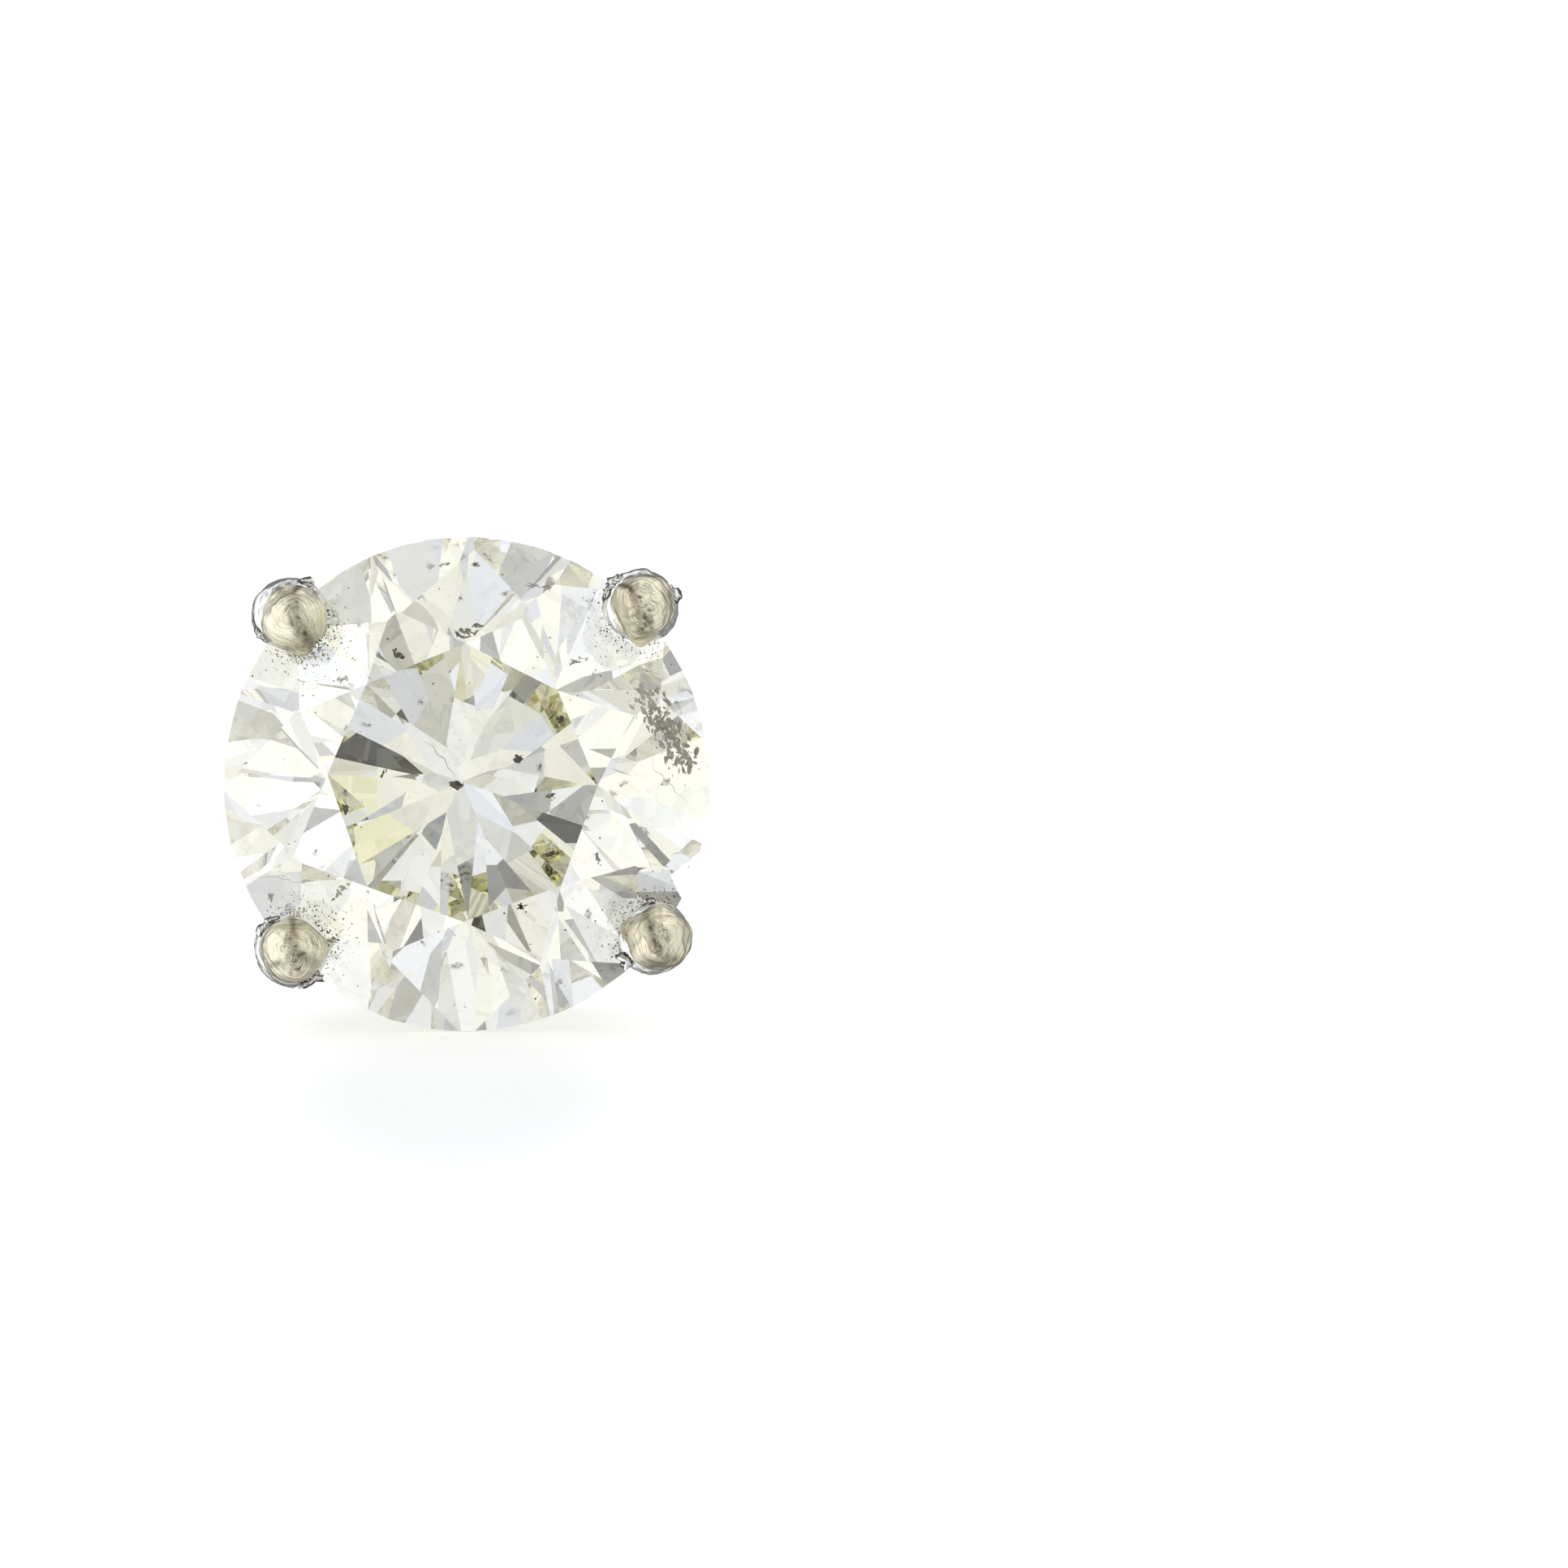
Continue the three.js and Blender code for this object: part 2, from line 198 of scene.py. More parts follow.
# The basket, base, post and friction back, as in the CAD source.
UPPER_RAIL_HEIGHT = 1.75
LOWER_RAIL_HEIGHT = 0.62
CULET_ROOM = 0.75
POST_PAST_BACK = 1.9
POST_TIP_LENGTH = 0.35
POST_FILLET, POST_SOFTNESS, PROFILE_STEP = 0.12, 0.09, 0.12
AXIS_ROOM = 0.05  # radius at which a turned face stops and is closed flat
POST_WOBBLE, RAIL_WOBBLE, RAIL_WAVES = 0.003, 0.004, 1.1
NOTCH_DEPTH, NOTCH_LENGTH, NOTCH_FROM_TIP = 0.09, 0.5, 1.2
LOBE_GAP = 5.4
PLATE_STRAIGHT = 2.5
CURL_GAP = 0.12
CURL_TURNS = 1.3
CURL_POINTS, PLATE_POINTS = 150, 58
TAPER_TURNS = (0.12, 0.25)  # turns of the curl between which the strip narrows to the curl's width
STRIP_SIDES_SQUARE, STRIP_FACES_FLAT = 0.22, 0.36  # powers of the superellipse
STRIP_END_RINGS, STRIP_END_WIDTH = 5, 0.93
STRIP_MARKS = (0.12, 0.5)  # how the streak coordinates run along the strip and through it
POST_CLEARANCE = 0.05
COLLAR_WALL, COLLAR_HEIGHT, COLLAR_SOFTNESS, COLLAR_STEP = 0.55, 0.16, 0.05, 0.06
BORE_REACH = (0.9, 0.5)  # how far the drill goes behind the plate's front and before it
SHARP_FROM = 40.0  # degrees between faces

# Inclusions seen through the face: x and y in mm from the stone's middle, depth under the surface,
# length and width in mm, turn in degrees, and tone from 0, black, to 1, pale brown.
CRYSTALS = (
    (-0.15, 0.00, 0.10, 0.15, 0.12, 20, 0.15), (-0.06, -0.02, 0.12, 0.09, 0.07, 60, 0.45),
    (0.70, 0.34, 0.12, 0.15, 0.09, 35, 0.20), (1.13, -0.16, 0.12, 0.12, 0.09, 0, 0.55),
    (-1.11, 0.13, 0.10, 0.11, 0.04, 60, 0.30), (-1.61, -0.32, 0.10, 0.15, 0.06, -65, 0.25),
    (1.25, 0.87, 0.10, 0.11, 0.08, 30, 0.10), (-0.89, 1.69, 0.12, 0.16, 0.11, -20, 0.15),
    (0.72, -1.60, 0.10, 0.12, 0.08, 20, 0.15), (1.72, -0.96, 0.10, 0.16, 0.05, -70, 0.20),
    (0.00, 1.98, 0.12, 0.26, 0.10, -12, 0.60), (0.12, 2.06, 0.10, 0.14, 0.08, 25, 0.30),
    (-0.10, 1.93, 0.14, 0.14, 0.05, -40, 0.20), (0.13, 2.88, 0.08, 0.12, 0.05, 0, 0.15),
    (-0.28, 2.88, 0.08, 0.11, 0.05, 10, 0.20), (0.90, 2.60, 0.08, 0.26, 0.04, -8, 0.35),
    (1.43, 1.60, 0.10, 0.16, 0.05, 30, 0.35), (-2.58, -1.49, 0.08, 0.10, 0.08, 70, 0.25),
    (-1.66, -1.42, 0.08, 0.22, 0.08, 50, 0.75), (-1.62, 1.37, 0.08, 0.20, 0.06, 15, 0.75),
)
CRYSTAL_SHARDS, CRYSTAL_SPREAD = 12, 0.26
SHARD_SHARES = (0.14, 0.55)  # a shard's size in shares of its crystal
SHARD_FLATNESS, SHARD_TURNS, SHARD_TONES = 0.5, 0.5, 0.2  # height over width, and spread of turn and tone
LUMP_NOISE = ((0.30, 1.9), (0.16, 0.8))  # share of a lump's radius, and wavelength in its radii
LUMPS_APART = 7.3  # distance in the noise from one lump to the next
MINERAL_GRAIN, MINERAL_UNEVEN = 0.05, 0.7
MINERAL_ROUGH, MINERAL_HOLLOWS_ROUGH = 0.35, 0.3
MINERAL_BUMP, MINERAL_BUMP_DEPTH = 0.6, 0.3  # the depth in shares of the grain
SEAM_SHARDS, SEAM_SPREAD = 420, (0.10, 0.075)
SEAM_DEPTHS = (0.03, 0.16)
SEAM_LEAST, SEAM_MORE, SEAM_SMALLNESS = 0.016, 0.11, 2.5  # lengths in mm; the power keeps most small
SEAM_WIDTHS, SEAM_FLATNESS = (0.25, 0.6), 0.3
SEAM_TURN, SEAM_TURNS = -1.0, 0.7  # mean and spread of a sliver's turn in radians
SEAM_PALENESS = 0.6  # power of an even spread of tones
SEAM_PATH = (  # x and y in mm of the broken seam near the right edge of the crown
    (2.30, 1.22), (2.45, 0.95), (2.62, 0.72), (2.78, 0.45), (2.86, 0.20),
)
HAIRLINES = (  # start and end in mm, and how far the middle bows to the left of it
    (-2.95, -1.25, -1.95, -1.37, 0.06), (2.69, -0.98, 2.92, -0.92, 0.05), (2.78, 1.14, 2.86, 0.92, -0.03),
    (-0.56, 0.60, -0.10, 0.06, 0.01), (2.42, 0.40, 2.95, -0.25, -0.06),
)
CRACK_RADIUS, CRACK_DEPTH, CRACK_WANDER = 0.0045, 0.03, 0.012
CRACK_POINTS, CRACK_WAVES, CRACK_TONE = 40, 0.2, 0.55
TUBE_POINT = 0.08  # share of a tube's radius that is left at its ends
PAST_THE_ENDS = 1.02  # half width of a hump that reaches a little past -1 and 1
PITS_PER_BEAD, PITS_REACH, PITS_GAP, PITS_FAN = 340, 0.16, 0.01, 0.85  # mm, and radians for the fan
SPECK_LEAST, SPECK_MORE, SPECK_SMALLNESS = 0.011, 0.022, 3  # as for the seam's slivers
SPECK_WIDTHS, SPECK_FLATNESS = (0.5, 1), 0.5
DARK_TONES, PALE_TONES = (0, 0.4), (0.4, 1)
SEEN_DIRECTLY = (1.4, 1.6)  # ray depths between which a speck stops being seen straight from outside
REPEATED_SPECK_STRENGTH = 0.12  # how strongly specks show again in the facets behind them
FACE_SPECKS = 150
RESIDUE = (-2.13, 1.72, 0.16, 0.08)  # middle and spread in mm of the film beside the upper left bead
RESIDUE_GRAINS = 260
SPECK_FREE_RIM = 0.06

# The surroundings. Tones run from 0, black, to 1, the white behind the earring. Heights over the
# face's plane are given as sines, and directions as height and bearing in degrees.
FRONT_STARTS, FRONT_ENDS = 0.5, 0.866
SIDE_TONE, FRONT_TONE, BACK_TONE = 0.785, 0.99, 0.75
TONE_LIMITS = (0.03, 1.08)
WAVES = (  # seed, how many, slowest and fastest in radians per unit, and depth
    (45978, 6, 2.5, 7.0, 0.09),
    (99699, 6, 9.0, 18.0, 0.21),
    (70135, 6, 20.0, 36.0, 0.25),
)
TINT_WAVES = (23, 4, 5.0, 12.0, 1.0)
WARM_LIGHT, COOL_LIGHT = (1.0, 1.0, 0.965), (0.95, 0.997, 1.17)
CARDS = (  # height, bearing, half width in degrees, and tone
    (51.5, 115.0, 4.0, 0.93), (62.3, 90.5, 4.5, 0.86), (72.6, 168.5, 1.9, 0.80),
    (68.5, 176.5, 1.6, 0.03), (71.3, -38.9, 2.4, 0.03), (71.1, -71.7, 1.2, 0.03), (73.1, -77.9, 1.3, 0.33),
    (72.6, -54.0, 1.4, 0.26),
)
CARD_EDGE = 0.4
WARM_CARDS = (  # height, bearing and half width in degrees
    (13.0, 80.0, 7.0), (67.5, -137.9, 1.4), (68.6, -98.9, 1.5),
)
WARM_CARD_TINT = (0.955, 0.945, 0.70)
# What polished metal and glass mirror: the camera and its stand as a dark upright strip, and the
# unlit room behind.
STRIP_SIDE = (0.0, 12.0)  # the direction square to the strip
STRIP_EDGES = (0.10, 0.42)
STRIP_SHIFT = 0.04
STRIP_TONE = 0.06
MIRRORED_SIDE = (20.0, 150.0)  # the direction of the brightest mirrored light
MIRRORED_EDGES, MIRRORED_TONES = (-0.7, 0.6), (0.84, 1.32)
MIRRORED_WAVES = (7, 5, 3.0, 8.0, 0.10)
STRIP_ENDS = (0.10, 0.45)  # how squarely in front the strip fades in
ROOM_EDGES = (-0.25, -0.75)
ROOM_TONE = 0.2
HORIZON = (0.05, -0.05)  # where the tone of the front gives way to that of the back
COOLNESS = (-2.0, 1.0)  # the tint's waves less the height, from all warm to all cool

# The table top, and the faint oval shade painted on it in front of the earring: its middle and half
# sizes in metres, the share of them within which it is deepest, and its depth.
TABLE_HALF, TABLE_POINTS = 0.8, 9
TABLE_SPECKLE, TABLE_ROUGH, TABLE_UNEVEN = 0.985, 0.25, 0.1
TABLE_GLOW, TABLE_GLOW_STRENGTH = (1.0, 0.995, 0.95, 1.0), 0.40
SHADE_MIDDLE = (-0.0001, -0.014, 0.0)
SHADE_HALF = (0.0036, 0.015, 1.0)
SHADE_FADES = 0.3
SHADE_DEPTH = 0.22

# The camera looks along the post, with the stone left of the middle as in the photograph.
PIXEL_PITCH = 0.01076
FRAME_PIXELS = 1932
SENSOR = 36.0
CAMERA_DISTANCE = 950.0
CLIP_START, CLIP_END = 0.01, 5.0
STONE_LEFT_OF_MIDDLE = 4.207
LIGHT_BOUNCES, DIFFUSE_BOUNCES = 48, 2
WHITE, BLACK = (1.0, 1.0, 1.0, 1.0), (0.0, 0.0, 0.0, 1.0)


def millimetre_property(label, about, default):
    """A length in metres that the sidebar shows with its unit; default is in millimetres."""
    return FloatProperty(name=label, description=about, default=default * MM, unit="LENGTH",
                         precision=5, min=0.0)


def angle_property(label, about, default):
    """An angle whose default is given in degrees."""
    return FloatProperty(name=label, description=about, default=math.radians(default), subtype="ANGLE")


def colour_property(label, about, default):
    """A colour in linear light."""
    return FloatVectorProperty(name=label, description=about, default=default, size=3,
                               subtype="COLOR", min=0.0, max=1.0)


class StudSizes(PropertyGroup):
    """Sizes of the earring that a user would change."""
    stone_width: millimetre_property("Stone width", "Width of the stone across the face", 6.44)
    stone_height: millimetre_property("Stone height", "Height of the stone across the face", 6.56)
    girdle: millimetre_property("Girdle", "Thickness of the stone's rim", 0.18)
    crown_angle: angle_property("Crown angle", "Slope of the main facets round the table", 36.28)
    pavilion_angle: angle_property("Pavilion angle", "Slope of the main facets at the back", 42.16)
    star_angle: angle_property("Star angle", "Slope of the facets along the table's edge", 23.67)
    lower_halves: FloatProperty(
        name="Lower halves", description="Share of the pavilion that its half facets reach over",
        default=0.82, subtype="FACTOR", min=0.6, max=0.92)
    crown_scatter: angle_property("Crown scatter", "Unevenness of the crown's slopes", 1.18)
    pavilion_scatter: angle_property("Pavilion scatter", "Unevenness of the pavilion's slopes", 1.0)
    turn_scatter: angle_property("Turn scatter", "Unevenness of the facets' bearings", 0.2)
    prong_wire: millimetre_property("Prong wire", "Diameter of the prongs", 0.98)
    prong_rise: millimetre_property("Prong rise", "Height of the prongs over the girdle", 0.36)
    bead_diameter: millimetre_property("Bead diameter", "Diameter of the prongs' beads", 0.88)
    bead_height: millimetre_property("Bead height", "Height of a bead over its prong", 0.5)
    rail_wire: millimetre_property("Rail wire", "Diameter of the basket's rails", 0.62)
    base_diameter: millimetre_property("Base diameter", "Diameter of the disc under the basket", 2.5)
    base_thickness: millimetre_property("Base thickness", "Thickness of that disc", 0.5)
    post_diameter: millimetre_property("Post diameter", "Diameter of the ear post", 0.84)
    strip_thickness: millimetre_property("Strip", "Thickness of the friction back's strip", 0.3)
    plate_width: millimetre_property("Plate width", "Width of the friction back's plate", 4.4)
    curl_width: millimetre_property("Curl width", "Width of its curled ends", 3.0)
    curl_radius: millimetre_property("Curl radius", "Outer radius of its curled ends", 1.2)


class StudColours(PropertyGroup):
    """Colours of the earring and its stage."""
    champagne: colour_property("Worn gold", "White gold whose plating has worn off", (0.88, 0.832, 0.65))
    silver: colour_property("Plated gold", "White gold that keeps its bright plating", (0.93, 0.93, 0.93))
    # Colour of the painted shade in the metal's grooves and contact lines.
    shade_colour: colour_property("Painted shade", "Painted shade along the metal's grooves and contact lines", (0.07, 0.06, 0.05))
    # Colour of the painted dark reflections on the beads.
    painted_reflection: colour_property("Dark reflection", "Painted dark brown reflection on the beads", (0.12, 0.095, 0.05))
    crystal: colour_property("Dark crystal", "Darkest inclusions in the stone", (0.015, 0.014, 0.014))
    seam: colour_property("Seam", "Darkest pieces of the broken seam", (0.09, 0.06, 0.02))
    feather: colour_property("Feather", "Palest inclusions in the stone", (0.40, 0.36, 0.20))
    table_top: colour_property("Table top", "Surface that the earring rests on", (0.93, 0.926, 0.888))


def in_mm(value):
    """A length property in millimetres."""
    return value / MM


def sizes():
    """The sizes of this scene."""
    return bpy.context.scene.stud_sizes


def colours():
    """The colours of this scene."""
    return bpy.context.scene.stud_colours


# Where things are

def girdle_radius():
    """Half the mean of the stone's two widths."""
    return in_mm(sizes().stone_width + sizes().stone_height) / 4


def base_front():
    """Height of the base's front face: behind the CAD culet by the culet's room."""
    culet = -in_mm(sizes().girdle) - girdle_radius() * math.tan(math.radians(CAD_PAVILION_ANGLE))
    return culet - CULET_ROOM


def base_back():
    """Height of the base's rear face."""
    return base_front() - in_mm(sizes().base_thickness)


def plate_front():
    """Height of the friction back's front face, behind the collar."""
    return base_back() - LOBE_GAP - COLLAR_HEIGHT


def frame_origin():
    """The row frame's place, in metres, of the earring's own origin."""
    return np.array(LOBE_MOUNT["pos_m"]) - AXES @ np.array([LOBE_MOUNT_X, 0.0, base_back()]) * MM


def to_frame(points):
    """Points in mm in the earring's axes, as metres in the row frame: turned by AXES, then moved."""
    return points @ AXES.T * MM + frame_origin()


def girdle_reach(bearings):
    """The oval outline of the stone at bearings in radians: one over the length of the direction
    divided by the two half widths."""
    return 1 / np.hypot(np.cos(bearings) / (in_mm(sizes().stone_width) / 2),
                        np.sin(bearings) / (in_mm(sizes().stone_height) / 2))


# Ways of making surfaces

def circle(count):
    """Angles evenly round one turn."""
    return np.arange(count) * FULL_TURN / count


def unit(vectors):
    """Vectors over their lengths."""
    return vectors / np.linalg.norm(vectors, axis=-1, keepdims=True)


def points_of(*parts):
    """Points from their coordinates, each spread over the others' grid."""
    return np.stack(np.broadcast_arrays(*parts), -1)


def ripples(points, wavelength, seed, waves=9):
    """Smooth noise of about -1 to 1: the sum of sine waves in random directions, each with its own
    phase and a wavelength within a third of the one asked for, over the root of half their number."""
    random = np.random.default_rng(seed)
    ways = unit(random.normal(size=(waves, 3))) * FULL_TURN / wavelength
    ways *= random.uniform(0.7, 1.4, (waves, 1))
    return np.sin(points @ ways.T + random.uniform(0, FULL_TURN, waves)).sum(-1) / math.sqrt(waves / 2)


def bump_of(x, middle, half_width):
    """A smooth hump, 1 in the middle and 0 from half_width on: a squared cosine."""
    return np.cos(np.clip((x - middle) / half_width, -1, 1) * math.pi / 2) ** 2


def angle_from(angles, middle):
    """How far angles lie from a middle, in radians between minus and plus half a turn."""
    return (angles - middle + math.pi) % FULL_TURN - math.pi


def with_poles(values):
    """Values on rings, shaped (piece, ring, side) and more, as one row each, and then the mean of each
    piece's first and last ring."""
    rows = (-1, *values.shape[3:])
    return np.concatenate([values.reshape(rows), values[:, [0, -1]].mean(axis=2).reshape(rows)])


def ring_faces(grids):
    """Faces of closed surfaces, from rings of points shaped (piece, ring, side, xyz). The first and
    last ring of a piece is each closed by a fan round its mean."""
    count, rings, sides = grids.shape[:3]
    number = np.arange(count * rings * sides).reshape(count, rings, sides)
    beside = np.roll(number, -1, axis=2)
    quads = np.stack([number[:, :-1], beside[:, :-1], beside[:, 1:], number[:, 1:]], -1).reshape(-1, 4)
    pole = count * rings * sides + np.arange(2 * count).reshape(count, 2, 1) + np.zeros(sides, int)
    start = np.stack([beside[:, 0], number[:, 0], pole[:, 0]], -1).reshape(-1, 3)
    end = np.stack([number[:, -1], beside[:, -1], pole[:, 1]], -1).reshape(-1, 3)
    return [quads, np.concatenate([start, end])]


def turned_out(vertices, face_sets):
    """The faces, reversed if the volume they enclose counts as negative: a sixth of the sum of the
    triple products of each triangle's corners."""
    volume = 0.0
    for faces in face_sets:
        for corner in range(1, faces.shape[1] - 1):
            a, b, c = (vertices[faces[:, k]] for k in (0, corner, corner + 1))
            volume += np.einsum("ij,ij->", a, np.cross(b, c))
    return face_sets if volume > 0 else [faces[:, ::-1] for faces in face_sets]


def new_object(name, vertices, face_sets, smooth=True):
    """A mesh object at the frame's origin, from vertices in mm in the earring's axes."""
    faces = [face for part in turned_out(vertices, face_sets) for face in part.tolist()]
    mesh = bpy.data.meshes.new(name)
    mesh.from_pydata(to_frame(vertices), [], faces)
    mesh.shade_smooth() if smooth else mesh.shade_flat()
    mesh.validate()
    mesh.update()
    piece = bpy.data.objects.new(name, mesh)
    bpy.context.scene.collection.objects.link(piece)
    return piece


def set_attribute(piece, name, values):
    """A named value for each vertex: one number, or three."""
    values = np.asarray(values, np.float32)
    kind = "FLOAT_VECTOR" if values.ndim == 2 else "FLOAT"
    attribute = piece.data.attributes.new(name, kind, "POINT")
    attribute.data.foreach_set("vector" if values.ndim == 2 else "value", values.ravel())


def ring_object(name, grids, smooth=True, **attributes):
    """An object of closed surfaces given by their rings, with named values spread over the points."""
    piece = new_object(name, with_poles(grids), ring_faces(grids), smooth)
    for label, values in attributes.items():
        set_attribute(piece, label, with_poles(values))
    return piece


def loop_object(name, grid, streak):
    """An object of one surface whose grid closes on itself both ways, with its streak coordinates."""
    number = np.arange(grid[..., 0].size).reshape(grid.shape[:2])
    ahead, beside = np.roll(number, -1, 0), np.roll(number, -1, 1)
    quads = np.stack([number, beside, np.roll(ahead, -1, 1), ahead], -1).reshape(-1, 4)
    piece = new_object(name, grid.reshape(-1, 3), [quads])
    set_attribute(piece, "streak", streak.reshape(-1, 3))
    return piece


def dress(piece, materials, slot, *replaced):
    """Gives a finished piece its materials, its body and the CAD nodes it stands for; the slot is not
    used.
    """
    for material in materials:
        piece.data.materials.append(material)
    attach(piece, "root")
    if replaced:
        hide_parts(*replaced)


def applied(piece):
    """The piece with its modifiers worked into its mesh."""
    graph = bpy.context.evaluated_depsgraph_get()
    mesh = bpy.data.meshes.new_from_object(piece.evaluated_get(graph))
    old = piece.data
    piece.modifiers.clear()
    piece.data = mesh
    mesh.name = piece.name
    bpy.data.meshes.remove(old)
    return piece


# Ways of making materials

def new_material(name):
    """An empty material with its Principled shader, and its node tree."""
    material = bpy.data.materials.new(name)
    material.use_nodes = True
    tree = material.node_tree
    return material, tree, tree.nodes["Principled BSDF"]


def add(tree, kind, inputs=None, **settings):
    """Adds a node. An input that is a socket is linked, and any other is set on the node."""
    node = tree.nodes.new(kind)
    for key, value in settings.items():
        setattr(node, key, value)
    put(tree, node, inputs or {})
    return node


def put(tree, node, inputs):
    """Links or sets a node's inputs, by name or number."""
    for key, value in inputs.items():
        if isinstance(value, bpy.types.NodeSocket):
            tree.links.new(value, node.inputs[key])
        else:
            node.inputs[key].default_value = value


def calculate(tree, operation, first, second=0.5, third=0.5):
    """The result of a Math node."""
    return add(tree, "ShaderNodeMath", {0: first, 1: second, 2: third}, operation=operation).outputs[0]


def mixed(tree, share, first, second):
    """A colour between two, by a share from 0 to 1."""
    node = add(tree, "ShaderNodeMix", data_type="RGBA")
    put(tree, node, {0: share, 6: first, 7: second})
    return node.outputs[2]


def ranged(tree, value, low, high, to_low=0.0, to_high=1.0, smooth=True):
    """A value carried from one range to another and held at its ends."""
    return add(tree, "ShaderNodeMapRange", {0: value, 1: low, 2: high, 3: to_low, 4: to_high},
               interpolation_type="SMOOTHSTEP" if smooth else "LINEAR").outputs[0]


def held(tree, value):
    """A value held between 0 and 1."""
    return add(tree, "ShaderNodeClamp", {0: value}).outputs[0]


def vector_math(tree, operation, first, second=None):
    """The vector that a Vector Math node gives."""
    given = {0: first} if second is None else {0: first, 1: second}
    return add(tree, "ShaderNodeVectorMath", given, operation=operation).outputs[0]


def read(tree, name):
    """The value that a piece's own attribute has."""
    return add(tree, "ShaderNodeAttribute", attribute_name=name).outputs["Fac"]


def noise(tree, where, seed, scale, detail, roughness):
    """Noise of a seed at places, about 0.5 in the middle."""
    return add(tree, "ShaderNodeTexNoise", {"Vector": where, "W": seed, "Scale": scale, "Detail": detail,
                                            "Roughness": roughness}, noise_dimensions="4D").outputs[0]


def bumped(tree, strength, depth, height):
    """The normal that a Bump node gives, for a depth in mm."""
    return add(tree, "ShaderNodeBump", {"Strength": strength, "Distance": depth * MM,
                                        "Height": height}).outputs["Normal"]


def opaque(colour):
    """A colour property with an alpha of one."""
    return (*colour, 1.0)


def new_group(name, inputs, outputs):
    """An empty shader node group with float, vector or colour sockets, given as name: kind."""
    group = bpy.data.node_groups.new(name, "ShaderNodeTree")
    for label, kind in inputs.items():
        group.interface.new_socket(label, in_out="INPUT", socket_type="NodeSocket" + kind)
    for label, kind in outputs.items():
        group.interface.new_socket(label, in_out="OUTPUT", socket_type="NodeSocket" + kind)
    return group, group.nodes.new("NodeGroupInput").outputs, group.nodes.new("NodeGroupOutput")


def grain_group():
    """Fine metal grain: noise in object space in mm, as a height and a mask of its deeper parts."""
    group, given, result = new_group(
        "metal_grain", {"Size": "Float", "Seed": "Float"}, {"Height": "Float", "Hollows": "Float"})
    where = add(group, "ShaderNodeTexCoord").outputs["Object"]
    scaled = vector_math(group, "MULTIPLY", where, (1 / MM,) * 3)
    scale = calculate(group, "DIVIDE", 1.0, given["Size"])
    fine = noise(group, scaled, given["Seed"], scale, detail=6.0, roughness=0.62)
    put(group, result, {"Height": fine, "Hollows": ranged(group, fine, low=0.44, high=0.30)})
    return group


def streak_group():
    """Tool marks along a surface: noise stretched along the piece's own streak coordinates, where
    X and Y go round the marks' middle and Z goes across them in mm."""
    group, given, result = new_group(
        "tool_streaks", {"Spacing": "Float", "Reach": "Float", "Seed": "Float"},
        {"Height": "Float", "Dark": "Float"})
    where = add(group, "ShaderNodeAttribute", attribute_name="streak").outputs["Vector"]
    across = calculate(group, "DIVIDE", 1.0, given["Spacing"])
    around = calculate(group, "DIVIDE", 1.0, given["Reach"])
    stretch = add(group, "ShaderNodeCombineXYZ", {0: around, 1: around, 2: across}).outputs[0]
    marks = noise(group, vector_math(group, "MULTIPLY", where, stretch), given["Seed"],
                  scale=1.0, detail=3.0, roughness=0.55)
    put(group, result, {"Height": ranged(group, marks, low=0.36, high=0.64),
                        "Dark": ranged(group, marks, low=0.50, high=0.38)})
    return group


def shared_group(name, make):
    """A node group that is made once."""
    return bpy.data.node_groups.get(name) or make()


def place_group(tree, name, make, inputs):
    """A shared group placed in a material with its own values."""
    node = add(tree, "ShaderNodeGroup", node_tree=shared_group(name, make))
    put(tree, node, inputs)
    return node.outputs


